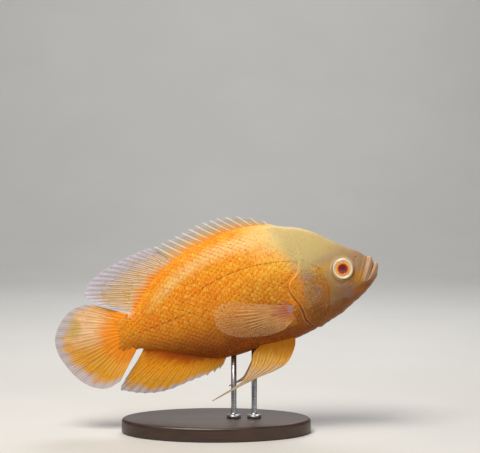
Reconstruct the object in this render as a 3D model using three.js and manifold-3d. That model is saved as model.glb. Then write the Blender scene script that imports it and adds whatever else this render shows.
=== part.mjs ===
// Oscar cichlid, golden form, life size, swimming with its nose up, on a plain display stand.
// Millimetres, +Z up, the head towards +X, the fish's left side towards +Y.
//
// The fish is drawn in its own body frame before it is tilted: "reach" runs from the snout back
// to the tail, "height" is above the body's axis and "side" is out from the midline.
// The body is one closed lofted surface, lined mouth included, that thin cuts part into
// head, jaws, gill covers, trunk and tail stalk. Each fin is a thin curved slab of its own.

import * as THREE from 'three';
import { mergeVertices } from 'three/addons/utils/BufferGeometryUtils.js';
import Module from 'manifold-3d';

const wasm = await Module();
wasm.setup();

// Driving dimensions
const NOSE_UP = THREE.MathUtils.degToRad(14);
const CUT = 0.3;
const BODY_SIDES = 28;
const TRUNK_STEP = 9.4;
const TAIL_CUT_AT = 190;
const BODY_END = 214;

const EYE_PLACE = { reach: 30.0, height: 8.0, side: 10.6 };
const EYE_RADIUS = 9.2;
const EYE_DEPTH = 7.0;
const CORNEA_RADIUS = 6.2;

const FIN_ROOT_HALF = 0.9;
const FIN_EDGE_HALF = 0.3;
const FIN_SINK = 1;
const FIN_CLEARANCE = 0.4;
const SPINES = 13;
const SPINE_NOTCH = 2.6;
const PELVIC_THICKNESS = 1;
const PELVIC_ROOT_SIDE = 6.6;
const PELVIC_SPLAY = 0.13;

const BASE_LENGTH = 160;
const BASE_WIDTH = 92;
const BASE_HEIGHT = 12;
const BASE_ROUND = 1.5;
const BASE_SIDES = 44;
const ROD_RADIUS = 2.3;
const ROD_COLLAR_RADIUS = 6;
const ROD_COLLAR_HEIGHT = 3;
const ROD_COLLAR_BEVEL = 1;
const ROD_SIDES = 16;
const ROD_INTO_BELLY = 5;
const ROD_REACHES = [118, 136];
const BASE_TOP_TO_SNOUT = 127;
const SNOUT_FORWARD = 136.4;

// Colours of the plain solids
const GOLD = 0xf0a030;
const CREAM = 0xf2dca8;
const LIP_PINK = 0xf0d0b0;
const FIN_PALE = 0xf5c878;
const IRIS_ORANGE = 0xd86018;
const WOOD_BROWN = 0x2a1c14;
const STEEL_GREY = 0xb8b8b8;
const EYE_ROUGHNESS = 0.15;
const WOOD_ROUGHNESS = 0.4;
const STEEL_ROUGHNESS = 0.3;
const STEEL_METALNESS = 0.9;

// One closed loop round the fish for each row. "at" orders the loops from the inside of the mouth
// (below 0) over the lip line (0) to the tail. Each loop goes through a top point, a point on each
// side and a low point. "back" and "belly" bend its upper and lower quarters: 1 is an ellipse,
// more is narrower towards the ridge.
const ring = (at, top, side, low, back, belly) => [at, ...top, ...side, ...low, back, belly];
const section = (at, top, height, halfWidth, low, back = 1.15, belly = 1) =>
  ring(at, [at, top], [at, height, halfWidth], [at, low], back, belly);
const RINGS = [
  ring(-10, [10.5, 1.0], [15.0, -6.0, 6.2], [8.8, -4.2], 1, 1),
  ring(-4, [6.8, 3.4], [14.8, -8.0, 8.8], [4.6, 1.0], 1, 1.2),
  ring(0, [4.9, 4.6], [14.6, -9.4, 10.2], [2.3, 3.7], 1, 1.25),
  ring(2, [3.5, 6.4], [14.9, -9.6, 11.0], [0.9, 3.2], 1, 1.2),
  ring(4, [3.2, 8.6], [15.6, -9.4, 11.6], [0.2, 1.5], 1, 1.15),
  ring(6.5, [4.2, 11.0], [17.0, -9.0, 12.1], [0.5, -1.2], 1, 1.1),
  ring(9, [6.4, 12.6], [18.6, -8.4, 12.5], [1.7, -5.0], 1, 1.05),
  ring(11.5, [8.2, 13.4], [20.2, -7.8, 12.9], [3.6, -7.6], 1, 1),
  ring(15, [11.0, 16.0], [22.0, -7.0, 13.5], [6.7, -10.7], 1, 1),
  ring(20, [15.5, 19.8], [24.8, -5.8, 14.3], [11.8, -14.9], 1, 1),
  ring(27, [22.5, 24.3], [28.4, -3.6, 15.3], [19.8, -20.1], 1, 1),
  ring(34, [30.3, 30.4], [33.2, -0.4, 16.4], [29.2, -24.9], 1.05, 1),
  ring(40, [38.0, 36.6], [38.8, 2.2, 17.5], [38.0, -29.6], 1.1, 1),
  section(46, 43.2, 4.0, 18.9, -32.4),
  section(56, 49.0, 5.6, 21.0, -35.4),
  section(68, 53.2, 6.4, 22.9, -38.6),
  section(80, 57.0, 6.8, 23.9, -41.0),
  section(96, 59.4, 7.2, 24.0, -41.4),
  section(115, 59.4, 7.6, 22.6, -41.8),
  section(135, 56.6, 7.0, 19.8, -43.0),
  section(152, 52.2, 5.6, 16.4, -40.0),
  section(168, 45.6, 3.8, 13.0, -34.4),
  section(182, 37.4, 1.8, 10.2, -28.4),
  section(194, 28.2, 0.0, 8.0, -22.8),
  section(202, 19.4, -1.4, 6.8, -19.8),
  section(208, 14.2, -2.2, 6.0, -18.2),
  section(BODY_END, 13.6, -2.2, 5.2, -18.2),
];
const MOUTH_POLE = { reach: 17.5, height: -2.6 };

// A value that runs smoothly through the knots (x, y), with a slope at each knot that weighs its
// two neighbours by their distance.
function smoothThrough(xs, ys, x) {
  const last = xs.length - 1;
  const slope = (i) => {
    if (i === 0) return (ys[1] - ys[0]) / (xs[1] - xs[0]);
    if (i === last) return (ys[last] - ys[last - 1]) / (xs[last] - xs[last - 1]);
    const before = xs[i] - xs[i - 1];
    const after = xs[i + 1] - xs[i];
    const rise = (ys[i] - ys[i - 1]) / before;
    const next = (ys[i + 1] - ys[i]) / after;
    return (rise * after + next * before) / (before + after);
  };
  let i = 0;
  while (i < last - 1 && x > xs[i + 1]) i += 1;
  const span = xs[i + 1] - xs[i];
  const t = (x - xs[i]) / span;
  const start = (1 + 2 * t) * (1 - t) ** 2 * ys[i] + t * t * (3 - 2 * t) * ys[i + 1];
  return start + span * (t * (1 - t) ** 2 * slope(i) - t * t * (1 - t) * slope(i + 1));
}

const RING_ORDER = RINGS.map((row) => row[0]);

// The loop at any place along the fish, read between the rows above.
function ringAt(at) {
  const read = (column) => smoothThrough(RING_ORDER, RINGS.map((row) => row[column]), at);
  return {
    top: [read(1), read(2)],
    side: [read(3), read(4), read(5)],
    low: [read(6), read(7)],
    back: read(8),
    belly: read(9),
  };
}

// A point in the body frame as a vector: reach runs towards -X, side along Y and height along Z.
const point = (reach, height, side = 0) => new THREE.Vector3(-reach, side, height);

// The point of a loop at an angle from its top. The side is the sine of the angle, and the reach
// and height run from the side point to the top or low point by the cosine, bent by a power.
function ringPoint(loop, angle, grow) {
  const up = Math.cos(angle) >= 0;
  const end = up ? loop.top : loop.low;
  const share = Math.abs(Math.cos(angle));
  const bent = share ** (up ? loop.back : loop.belly);
  const outward = up ? grow : -grow;
  return point(
    loop.side[0] + (end[0] - loop.side[0]) * share,
    loop.side[1] + (end[1] + outward - loop.side[1]) * bent,
    (loop.side[2] + grow) * Math.sin(angle),
  );
}

// Half the body's thickness at a reach and height behind the head, where the loops are upright.
function halfWidthAt(reach, height) {
  const loop = ringAt(reach);
  const up = height >= loop.side[1];
  const end = up ? loop.top[1] : loop.low[1];
  const share = Math.min(1, (height - loop.side[1]) / (end - loop.side[1]));
  return loop.side[2] * Math.sqrt(Math.max(0, 1 - share ** (2 / (up ? loop.back : loop.belly))));
}

const backHeight = (reach) => ringAt(reach).top[1];
const bellyHeight = (reach) => ringAt(reach).low[1];

// The faces of a skin that runs over rows of points, where each row is a closed loop of one count.
function skinFaces(rowCount, count) {
  const faces = [];
  for (let r = 0; r < rowCount - 1; r += 1) {
    for (let k = 0; k < count; k += 1) {
      const next = (k + 1) % count;
      const a = r * count + k;
      const b = r * count + next;
      const c = (r + 1) * count + next;
      const d = (r + 1) * count + k;
      faces.push(a, b, c, a, c, d);
    }
  }
  return faces;
}

// A loft over rows of points whose two ends are closed by a fan to a point.
function loftedGeometry(rows, startPoint, endPoint) {
  const count = rows[0].length;
  const places = [...rows.flat(), startPoint, endPoint];
  const start = places.length - 2;
  const end = places.length - 1;
  const faces = skinFaces(rows.length, count);
  const lastRow = (rows.length - 1) * count;
  for (let k = 0; k < count; k += 1) {
    const next = (k + 1) % count;
    faces.push(start, next, k, end, lastRow + k, lastRow + next);
  }
  return indexedGeometry(places, faces);
}

// Six times the volume inside the faces, negative where they point inwards.
function signedVolume(places, faces) {
  let total = 0;
  for (let i = 0; i < faces.length; i += 3) {
    const [a, b, c] = [places[faces[i]], places[faces[i + 1]], places[faces[i + 2]]];
    total += a.dot(new THREE.Vector3().crossVectors(b, c));
  }
  return total;
}

function indexedGeometry(places, faces) {
  if (signedVolume(places, faces) < 0) faces.reverse();
  const geometry = new THREE.BufferGeometry();
  const flat = places.flatMap((p) => [p.x, p.y, p.z]);
  geometry.setAttribute('position', new THREE.Float32BufferAttribute(flat, 3));
  geometry.setIndex(faces);
  return geometry;
}

// A closed slab on a grid of points: place(u, v) is its middle surface, u running from the front
// ray to the rear one and v from the root to the edge. out(u, v) is the way to its one face.
function slabGeometry(place, halfThickness, out, across, along) {
  const faceRow = (v, sign, order) => order.map((i) => {
    const u = i / across;
    return place(u, v).addScaledVector(out(u, v), sign * halfThickness(u, v));
  });
  const forward = Array.from({ length: across + 1 }, (_, i) => i);
  const backward = [...forward].reverse();
  const rows = [];
  for (let j = 0; j <= along; j += 1) {
    rows.push([...faceRow(j / along, 1, forward), ...faceRow(j / along, -1, backward)]);
  }
  const count = 2 * (across + 1);
  const faces = skinFaces(rows.length, count);
  const lastRow = along * count;
  for (let i = 0; i < across; i += 1) {
    const far = count - 1 - i;
    faces.push(i, far, far - 1, i, far - 1, i + 1);
    faces.push(lastRow + i, lastRow + far - 1, lastRow + far);
    faces.push(lastRow + i, lastRow + i + 1, lastRow + far - 1);
  }
  return indexedGeometry(rows.flat(), faces);
}

function solidOf(geometry) {
  geometry.deleteAttribute('normal');
  geometry.deleteAttribute('uv');
  const merged = mergeVertices(geometry, 1e-4);
  return new wasm.Manifold(new wasm.Mesh({
    numProp: 3,
    vertProperties: new Float32Array(merged.attributes.position.array),
    triVerts: new Uint32Array(merged.index.array),
  }));
}

function geometryOf(solid) {
  const mesh = solid.getMesh();
  const geometry = new THREE.BufferGeometry();
  geometry.setAttribute('position', new THREE.BufferAttribute(new Float32Array(mesh.vertProperties), 3));
  geometry.setIndex(new THREE.BufferAttribute(new Uint32Array(mesh.triVerts), 1));
  return geometry;
}

function namedMesh(name, geometry, color, roughness = 0.5, metalness = 0) {
  const shown = geometry.index ? geometry.toNonIndexed() : geometry;
  shown.computeVertexNormals();
  const mesh = new THREE.Mesh(shown, new THREE.MeshStandardMaterial({ color, roughness, metalness }));
  mesh.name = name;
  return mesh;
}

// A straight prism across the body, between two sides, over an outline of [reach, height] points.
function prism(outline, fromSide, toSide) {
  const shape = new THREE.Shape(outline.map(([reach, height]) => new THREE.Vector2(-reach, height)));
  const geometry = new THREE.ExtrudeGeometry(shape, { depth: toSide - fromSide, bevelEnabled: false });
  geometry.rotateX(Math.PI / 2);
  geometry.translate(0, toSide, 0);
  return solidOf(geometry);
}

// A thin blade that follows a line of [reach, height] points: the line moved half a cut each way.
function bladeOutline(line) {
  const shifted = (sign) => line.map(([reach, height], i) => {
    const before = line[Math.max(0, i - 1)];
    const after = line[Math.min(line.length - 1, i + 1)];
    const dx = after[0] - before[0];
    const dy = after[1] - before[1];
    const length = Math.hypot(dx, dy);
    return [reach + sign * (CUT / 2) * (dy / length), height - sign * (CUT / 2) * (dx / length)];
  });
  return [...shifted(1), ...shifted(-1).reverse()];
}

// A smooth curve through a few [reach, height] points.
const curveThrough = (points) => new THREE.CatmullRomCurve3(
  points.map(([reach, height]) => new THREE.Vector3(reach, height, 0)), false, 'centripetal');

// [reach, height] points at even steps of such a curve.
const curvePoints = (points, steps) => curveThrough(points).getPoints(steps).map((p) => [p.x, p.y]);

// A function that reads such a curve at a share u of its way.
const edgeCurve = (points) => {
  const curve = curveThrough(points);
  return (u) => {
    const p = curve.getPoint(u);
    return [p.x, p.y];
  };
};

// Body

function bodyRows(grow) {
  const mouth = [-10, -4, 0, 2, 4, 6.5, 9, 11.5, 15, 20, 27, 34, 40];
  const trunk = [];
  const steps = Math.round((BODY_END - 46) / TRUNK_STEP);
  for (let i = 0; i <= steps; i += 1) {
    trunk.push(46 + ((BODY_END - 46) * i) / steps);
  }
  return [...mouth, ...trunk].map((at) => {
    const loop = ringAt(at);
    const inMouth = at < 0;
    return Array.from({ length: BODY_SIDES }, (_, k) =>
      ringPoint(loop, (k / BODY_SIDES) * Math.PI * 2, inMouth ? 0 : grow));
  });
}

function bodySolid(grow = 0) {
  const rows = bodyRows(grow);
  const throat = point(MOUTH_POLE.reach, MOUTH_POLE.height);
  const end = point(BODY_END, ringAt(BODY_END).side[1]);
  return solidOf(loftedGeometry(rows, throat, end));
}

const GILL_REAR = [[64, 66], [63, 45], [65, 24], [69, 14.5], [75.4, 9], [77.8, 4.5], [75.6, -4],
  [72.2, -10.6], [70.4, -18], [69.6, -25], [66, -31.5], [58, -37], [54, -46]];
const GILL_FRONT = [[72, 12.6], [68, 16], [61, 18], [52, 14.5], [47, 5], [45.5, -6], [48, -17],
  [55, -27], [63, -31.2], [69, -33.4]];
const GILL_DEPTH = 11;
const LIP_REAR = [[7.2, 17], [8.2, 12.6], [9.8, 6.5], [12.8, -1], [16.4, -7.5], [18.9, -12.4]];
const CHIN_REAR = [[17.2, -2.2], [15.2, -4.4], [14.2, -6.8], [13.9, -9], [14.9, -10.8], [18.4, -11.4],
  [22, -14], [25.6, -18], [26.6, -30]];
const ACROSS = 40;

// The whole body with thin cuts through it: along the gill opening, round each gill cover, behind
// the upper lip, behind the lower jaw and across the tail stalk, and with a socket for each eye.
function cutBody() {
  let body = bodySolid();
  const rear = curvePoints(GILL_REAR, 26);
  body = body.subtract(prism(bladeOutline(rear), -ACROSS, ACROSS));
  body = body.subtract(prism(bladeOutline(curvePoints(LIP_REAR, 10)), -ACROSS, ACROSS));
  body = body.subtract(prism(bladeOutline(CHIN_REAR), -ACROSS, ACROSS));
  body = body.subtract(prism(bladeOutline([[TAIL_CUT_AT, 60], [TAIL_CUT_AT, -60]]), -ACROSS, ACROSS));
  const front = curvePoints(GILL_FRONT, 16);
  const frontBlade = bladeOutline(front);
  const opening = [...front, [72.4, -22], [74, -10], [79, 2], [78, 10]];
  for (const [from, to, plate] of [[-ACROSS, -GILL_DEPTH, -GILL_DEPTH], [GILL_DEPTH, ACROSS, GILL_DEPTH]]) {
    body = body.subtract(prism(frontBlade, from, to));
    body = body.subtract(prism(opening, plate - CUT / 2, plate + CUT / 2)
      .intersect(prism([...rear, [0, -46], [0, 66]], -ACROSS, ACROSS)));
  }
  for (const side of [1, -1]) {
    body = body.subtract(eyeSolid(side, CUT));
  }
  return body;
}

// Which piece of the cut body lies where: the reach, height and side of its middle.
function bodyPieces() {
  const pieces = {};
  for (const solid of cutBody().simplify(0.03).decompose()) {
    const box = solid.boundingBox();
    const reach = -(box.min[0] + box.max[0]) / 2;
    const height = (box.min[2] + box.max[2]) / 2;
    const side = (box.min[1] + box.max[1]) / 2;
    let name = 'head';
    if (reach > TAIL_CUT_AT) name = 'tail_stalk';
    else if (reach > 100) name = 'trunk';
    else if (side > 5) name = 'gill_cover_left';
    else if (side < -5) name = 'gill_cover_right';
    else if (reach < 14 && height > 0) name = 'upper_jaw';
    else if (reach < 16) name = 'lower_jaw';
    const known = pieces[name];
    if (!known || solid.volume() > known.volume()) pieces[name] = solid;
  }
  return pieces;
}

// Eyes

// A flattened ball turned about the line from eye to eye, with the clear dome standing proud of it.
function eyeSolid(side, grow = 0) {
  const profile = [];
  const steps = 8;
  for (let i = 0; i <= steps; i += 1) {
    const angle = (i / steps) * Math.PI;
    const radius = (EYE_RADIUS + grow) * Math.sin(angle);
    const dome = radius < CORNEA_RADIUS && angle > Math.PI / 2 ? 0.5 : 0;
    const depth = -(EYE_DEPTH + grow) * Math.cos(angle) + dome;
    profile.push(new THREE.Vector2(i === 0 || i === steps ? 0 : radius, depth));
  }
  const geometry = new THREE.LatheGeometry(profile, 18);
  if (side < 0) geometry.rotateX(Math.PI);
  geometry.translate(-EYE_PLACE.reach, side * EYE_PLACE.side, EYE_PLACE.height);
  return solidOf(geometry);
}

// Fins

const sideways = () => new THREE.Vector3(0, 1, 0);
const mix = (a, b, t) => a + (b - a) * t;

// A fin in the midplane between a root line and an edge line, thinning from root to edge.
function midFin({ root, edge, rootHalf, across, along, notch = () => 0 }) {
  const place = (u, v) => {
    const [rootReach, rootHeight] = root(u);
    const [edgeReach, edgeHeight] = edge(u);
    const share = v * (1 - notch(u));
    return point(mix(rootReach, edgeReach, share), mix(rootHeight, edgeHeight, share));
  };
  const half = (u, v) => mix(rootHalf(u), FIN_EDGE_HALF, v ** 0.7);
  return slabGeometry(place, half, sideways, across, along);
}

function spinyDorsal() {
  const edge = edgeCurve([[81, 59.5], [91, 64.6], [102, 69], [113, 71.2], [130, 72.4], [143, 70.2],
    [160, 66], [172, 63.4], [182, 62.3]]);
  const root = (u) => {
    const reach = mix(77.5, 163.5, u);
    return [reach, backHeight(reach) - FIN_SINK];
  };
  const notch = (u) => {
    const phase = (u * SPINES) % 1;
    const length = mix(3, 16, Math.min(1, u * 2.2));
    return (SPINE_NOTCH / length) * Math.sin(Math.PI * phase) * Math.min(1, 6 * (1 - u));
  };
  return midFin({ root, edge, rootHalf: () => FIN_ROOT_HALF, across: SPINES * 3, along: 1, notch });
}

function softDorsal() {
  const edge = edgeCurve([[182.4, 62.2], [191, 61], [201, 59.6], [216, 56], [232.6, 50.4],
    [241.6, 43.6], [245.6, 37], [241, 31.4], [232.6, 25], [224, 20]]);
  const root = (u) => {
    const reach = mix(164, 207, u);
    return [reach, backHeight(reach) - FIN_SINK];
  };
  return midFin({ root, edge, rootHalf: () => FIN_ROOT_HALF, across: 18, along: 4 });
}

function analFin() {
  const edge = edgeCurve([[148.5, -51], [153, -52.6], [161, -54], [170, -54], [180, -55.2],
    [197, -57.6], [210, -57], [222, -54.2], [230, -51], [236, -47.6], [233, -43], [226, -36], [215, -26.6]]);
  const root = (u) => {
    const reach = mix(141.5, 206, u);
    return [reach, bellyHeight(reach) + FIN_SINK];
  };
  return midFin({ root, edge, rootHalf: () => FIN_ROOT_HALF, across: 20, along: 4 });
}

function caudalFin() {
  const edge = edgeCurve([[242, 28.2], [249.5, 29.6], [259, 28], [268, 22.6], [275, 15], [279.4, 6],
    [279.4, -5], [275.4, -18], [268, -31], [257, -40.4], [246, -43.6], [234.5, -40.6]]);
  const top = backHeight(BODY_END) - 0.2;
  const low = bellyHeight(BODY_END) + 0.2;
  const root = (u) => [BODY_END + CUT, mix(top, low, u)];
  const rootHalf = (u) => Math.max(0.6, halfWidthAt(BODY_END, mix(top, low, u)));
  return midFin({ root, edge, rootHalf, across: 20, along: 5 });
}

// The breast fin, folded back on the flank: it lies over the side of the body and stands off it
// more towards its tip.
function pectoralFin(side) {
  const edge = edgeCurve([[122, 3.4], [134, 4.4], [141.5, 1.6], [143.6, -7], [141, -17], [131, -24.4],
    [117, -28.4], [103, -30.4], [90, -29.2]]);
  const root = (u) => [mix(78.4, 80.2, u), mix(-11.0, -22.6, u)];
  const place = (u, v) => {
    const [rootReach, rootHeight] = root(u);
    const [edgeReach, edgeHeight] = edge(u);
    const reach = mix(rootReach, edgeReach, v);
    const height = mix(rootHeight, edgeHeight, v);
    const standOff = mix(1.5, 4.2, v);
    return point(reach, height, side * (halfWidthAt(reach, height) + standOff));
  };
  const half = (u, v) => mix(0.9, FIN_EDGE_HALF, v ** 0.7);
  return slabGeometry(place, half, sideways, 12, 6);
}

// The belly fin: a fan behind a thick front ray that draws out into a long thread. The near one
// and the far one differ in the length of the thread.
function pelvicFin(side, threadTip, clearance) {
  const front = curvePoints([[81.6, -34], [83.4, -45], [89.6, -54.2], [96, -59.2], [104, -61.6],
    [119.6, -63.9], [131, -66.4], threadTip], 20);
  const rear = curvePoints([[threadTip[0] - 0.4, threadTip[1] + 1.3], [131, -62.6], [127.4, -57],
    [122.6, -51], [120, -43.8], [114, -34]], 12);
  const outline = [...front, ...rear].map(([reach, height]) => new THREE.Vector2(-reach, height));
  const shape = new THREE.Shape(outline);
  const geometry = new THREE.ExtrudeGeometry(shape, { depth: PELVIC_THICKNESS, bevelEnabled: false });
  geometry.rotateX(Math.PI / 2);
  const places = geometry.attributes.position;
  for (let i = 0; i < places.count; i += 1) {
    const spread = PELVIC_ROOT_SIDE + PELVIC_SPLAY * (front[0][1] - places.getZ(i));
    places.setY(i, places.getY(i) + PELVIC_THICKNESS / 2 + side * spread);
  }
  return geometryOf(solidOf(geometry).subtract(clearance));
}

// Stand

function standBase() {
  const half = new THREE.Vector2(BASE_LENGTH / 2 - BASE_ROUND, BASE_WIDTH / 2 - BASE_ROUND);
  const rim = new THREE.EllipseCurve(0, 0, half.x, half.y, 0, Math.PI * 2).getPoints(BASE_SIDES);
  const shape = new THREE.Shape(rim.slice(0, -1));
  return new THREE.ExtrudeGeometry(shape, {
    depth: BASE_HEIGHT - 2 * BASE_ROUND,
    bevelThickness: BASE_ROUND,
    bevelSize: BASE_ROUND,
    bevelSegments: 2,
  }).translate(0, 0, BASE_ROUND);
}

// A round rod with a collar at its foot, whose upper end is cut to the belly that it carries.
function standRod(x, topHeight, clearance) {
  const profile = [
    new THREE.Vector2(0, BASE_HEIGHT),
    new THREE.Vector2(ROD_COLLAR_RADIUS, BASE_HEIGHT),
    new THREE.Vector2(ROD_COLLAR_RADIUS, BASE_HEIGHT + ROD_COLLAR_HEIGHT - ROD_COLLAR_BEVEL),
    new THREE.Vector2(ROD_COLLAR_RADIUS - ROD_COLLAR_BEVEL, BASE_HEIGHT + ROD_COLLAR_HEIGHT),
    new THREE.Vector2(ROD_RADIUS, BASE_HEIGHT + ROD_COLLAR_HEIGHT),
    new THREE.Vector2(ROD_RADIUS, topHeight),
    new THREE.Vector2(0, topHeight),
  ];
  const geometry = new THREE.LatheGeometry(profile, ROD_SIDES).rotateX(Math.PI / 2).translate(x, 0, 0);
  return geometryOf(solidOf(geometry).subtract(clearance));
}

// Assembly

const part = new THREE.Group();
const fish = new THREE.Group();
fish.rotation.y = -NOSE_UP;
fish.position.set(SNOUT_FORWARD, 0, BASE_HEIGHT + BASE_TOP_TO_SNOUT);
fish.updateMatrixWorld(true);
part.add(fish);

const colours = {
  head: CREAM,
  upper_jaw: LIP_PINK,
  lower_jaw: LIP_PINK,
  gill_cover_left: GOLD,
  gill_cover_right: GOLD,
  trunk: GOLD,
  tail_stalk: GOLD,
};
for (const [name, solid] of Object.entries(bodyPieces())) {
  fish.add(namedMesh(name, geometryOf(solid), colours[name]));
}
for (const [side, word] of [[1, 'left'], [-1, 'right']]) {
  fish.add(namedMesh(`eye_${word}`, geometryOf(eyeSolid(side)), IRIS_ORANGE, EYE_ROUGHNESS));
}

const grownBody = bodySolid(FIN_CLEARANCE);
const midFins = {
  dorsal_fin_spiny: [spinyDorsal(), FIN_PALE],
  dorsal_fin_soft: [softDorsal(), FIN_PALE],
  anal_fin: [analFin(), GOLD],
};
for (const [name, [geometry, colour]] of Object.entries(midFins)) {
  fish.add(namedMesh(name, geometryOf(solidOf(geometry).subtract(grownBody)), colour));
}
fish.add(namedMesh('caudal_fin', caudalFin(), FIN_PALE));
for (const [side, word, threadTip] of [[1, 'left', [147, -69]], [-1, 'right', [162.4, -74.2]]]) {
  fish.add(namedMesh(`pectoral_fin_${word}`, pectoralFin(side), FIN_PALE));
  fish.add(namedMesh(`pelvic_fin_${word}`, pelvicFin(side, threadTip, grownBody), FIN_PALE));
}

part.add(namedMesh('stand_base', standBase(), WOOD_BROWN, WOOD_ROUGHNESS));
const placedBody = grownBody.transform(fish.matrixWorld.toArray());
ROD_REACHES.forEach((reach, i) => {
  const belly = point(reach, bellyHeight(reach)).applyMatrix4(fish.matrixWorld);
  const rod = standRod(belly.x, belly.z + ROD_INTO_BELLY, placedBody);
  part.add(namedMesh(`stand_rod_${i + 1}`, rod, STEEL_GREY, STEEL_ROUGHNESS, STEEL_METALNESS));
});

export default part;
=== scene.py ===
"""Golden oscar, life size, nose up on a plain display stand: skin, scales, fins, eyes and stand.

The fish is worked out in its own body frame, in millimetres: reach runs from the snout back to the
tail, height is above the body's axis and side is out from the midline, left being positive.
"""

from __future__ import annotations

import logging
import math
from dataclasses import dataclass, field
from enum import Enum, IntEnum
from typing import Any, Callable, Sequence

import bpy
import numpy as np
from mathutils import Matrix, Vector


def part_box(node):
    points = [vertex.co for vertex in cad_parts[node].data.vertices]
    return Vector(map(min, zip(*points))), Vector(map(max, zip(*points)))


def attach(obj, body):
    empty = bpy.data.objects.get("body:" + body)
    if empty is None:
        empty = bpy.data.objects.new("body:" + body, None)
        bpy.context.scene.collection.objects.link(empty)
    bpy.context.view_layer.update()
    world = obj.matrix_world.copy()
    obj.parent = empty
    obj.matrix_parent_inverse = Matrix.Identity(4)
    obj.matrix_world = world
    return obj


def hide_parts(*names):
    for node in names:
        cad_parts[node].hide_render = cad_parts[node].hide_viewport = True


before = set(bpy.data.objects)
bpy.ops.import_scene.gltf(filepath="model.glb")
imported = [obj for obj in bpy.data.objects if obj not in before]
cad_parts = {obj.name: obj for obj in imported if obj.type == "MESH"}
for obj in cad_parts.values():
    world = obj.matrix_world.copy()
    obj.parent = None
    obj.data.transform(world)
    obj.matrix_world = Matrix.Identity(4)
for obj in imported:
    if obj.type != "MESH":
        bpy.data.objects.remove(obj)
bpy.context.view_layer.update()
LOG = logging.getLogger("oscar")

MM = 0.001
NOSE_UP = math.radians(14.0)
SNOUT_X = 136.4
SNOUT_Z = 139.0
PHOTO_SIZE = (480, 453)
PHOTO_SNOUT = (378.5, 268.0)
MM_PER_PIXEL = 0.84
COAT_DEPTH = 0.45
LAST_LOOP = 234.0
BAKE_PATCH = 0.003
BAKE_START = -12.0
BAKE_SPAN = 250.0
EYE_REACH = 30.0
EYE_HEIGHT = 8.0
EYE_RING = 8.7
EYE_CREASE = 13.2
NOSTRIL = (16.4, 14.2)
TURN = 2 * math.pi

Array = np.ndarray
Bell = tuple[float, float, float]
Zone = tuple[str, tuple[float, float], tuple[float, float], float]

# The lips' bells: each one's height, its place in the order of the loops and its width.
UPPER_LIP: tuple[Bell, ...] = ((0.5, 1.4, 1.7), (-0.35, 3.9, 0.8), (0.8, 6.2, 1.8), (-0.4, 9.3, 1.1),
                               (0.15, 11.8, 1.3), (-0.2, 13.6, 1.1))
LOWER_LIP: tuple[Bell, ...] = ((1.5, 1.2, 2.6), (-0.35, 8.4, 1.2), (0.15, 10.8, 1.6))

# The nostril and the pores of the face: each one's reach, height, size and depth.
PORES = ((*NOSTRIL, 0.75, 1.1), (11.0, -6.0, 0.35, 0.25), (22.5, -3.5, 0.4, 0.3), (19.6, -1.0, 0.4, 0.3),
         (26.5, -5.0, 0.4, 0.3), (24.0, 21.0, 0.4, 0.25))

# The reaches and heights of the lateral line's two lengths.
LATERAL_LINE = (((66, 80, 98, 120, 142, 166), (18.4, 22.5, 28.4, 27.4, 24.2, 15.0)),
                ((158, 179, 197, 222), (3.4, -0.5, -2.8, -6.5)))

FLESH_NODES = ("head", "upper_jaw", "lower_jaw", "gill_cover_left", "gill_cover_right", "trunk",
               "tail_stalk")


class Side(Enum):
    """The two sides of the fish, each with the sign of its Y."""

    LEFT = 1
    RIGHT = -1

    @property
    def word(self) -> str:
        """The side's name as the frame's nodes have it."""
        return self.name.lower()


class Loop(IntEnum):
    """The columns of the body's table of loops."""

    PLACE = 0
    TOP_REACH = 1
    TOP_HEIGHT = 2
    SIDE_REACH = 3
    SIDE_HEIGHT = 4
    HALF_WIDTH = 5
    LOW_REACH = 6
    LOW_HEIGHT = 7
    UPPER_BEND = 8
    LOWER_BEND = 9


def smooth_through(knots: Array, values: Array, x: Array) -> Array:
    """Read a smooth curve through knots.

    Between two knots it is the cubic with the knots' values and slopes, and a knot's slope weighs
    the rises before and after it by the other one's distance.

    Args:
        knots: rising places of the knots.
        values: the value at each knot.
        x: where to read the curve.

    Returns:
        The curve's value at each x.
    """
    knots, values, x = (np.asarray(a, float) for a in (knots, values, x))
    gap, rise = np.diff(knots), np.diff(values) / np.diff(knots)
    inner = (rise[:-1] * gap[1:] + rise[1:] * gap[:-1]) / (gap[:-1] + gap[1:])
    slope = np.concatenate([rise[:1], inner, rise[-1:]])
    i = np.clip(np.searchsorted(knots, x, side="right") - 1, 0, len(gap) - 1)
    t = (x - knots[i]) / gap[i]
    start = (1 + 2 * t) * (1 - t) ** 2 * values[i] + t * t * (3 - 2 * t) * values[i + 1]
    return start + gap[i] * (t * (1 - t) ** 2 * slope[i] - t * t * (1 - t) * slope[i + 1])


def smoothstep(low: float, high: float, x: Array) -> Array:
    """Rise smoothly from 0 at low to 1 at high, level at both ends."""
    t = np.clip((x - low) / (high - low), 0.0, 1.0)
    return t * t * (3 - 2 * t)


def hump(x: Array, width: float) -> Array:
    """A bell that is 1 at 0 and falls off over a width."""
    return np.exp(-((x / width) ** 2))


def bells(x: Array, parts: Sequence[Bell]) -> Array:
    """Add up bells, each with its own height, place and width."""
    return sum(height * hump(x - place, width) for height, place, width in parts)


class Outline:
    """A smooth line through a few [reach, height] points, read by its share of the way along."""

    def __init__(self, *points: tuple[float, float]) -> None:
        """Keep the points, with each one's share of the length.

        Args:
            points: the line's points, in order.
        """
        self.points = np.array(points, float)
        steps = np.sqrt(np.linalg.norm(np.diff(self.points, axis=0), axis=1))
        self.share = np.concatenate([[0.0], np.cumsum(steps)]) / steps.sum()

    def at(self, u: Array) -> tuple[Array, Array]:
        """The reach and height at a share u of the way along."""
        reach, height = (smooth_through(self.share, line, u) for line in self.points.T)
        return reach, height


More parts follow.
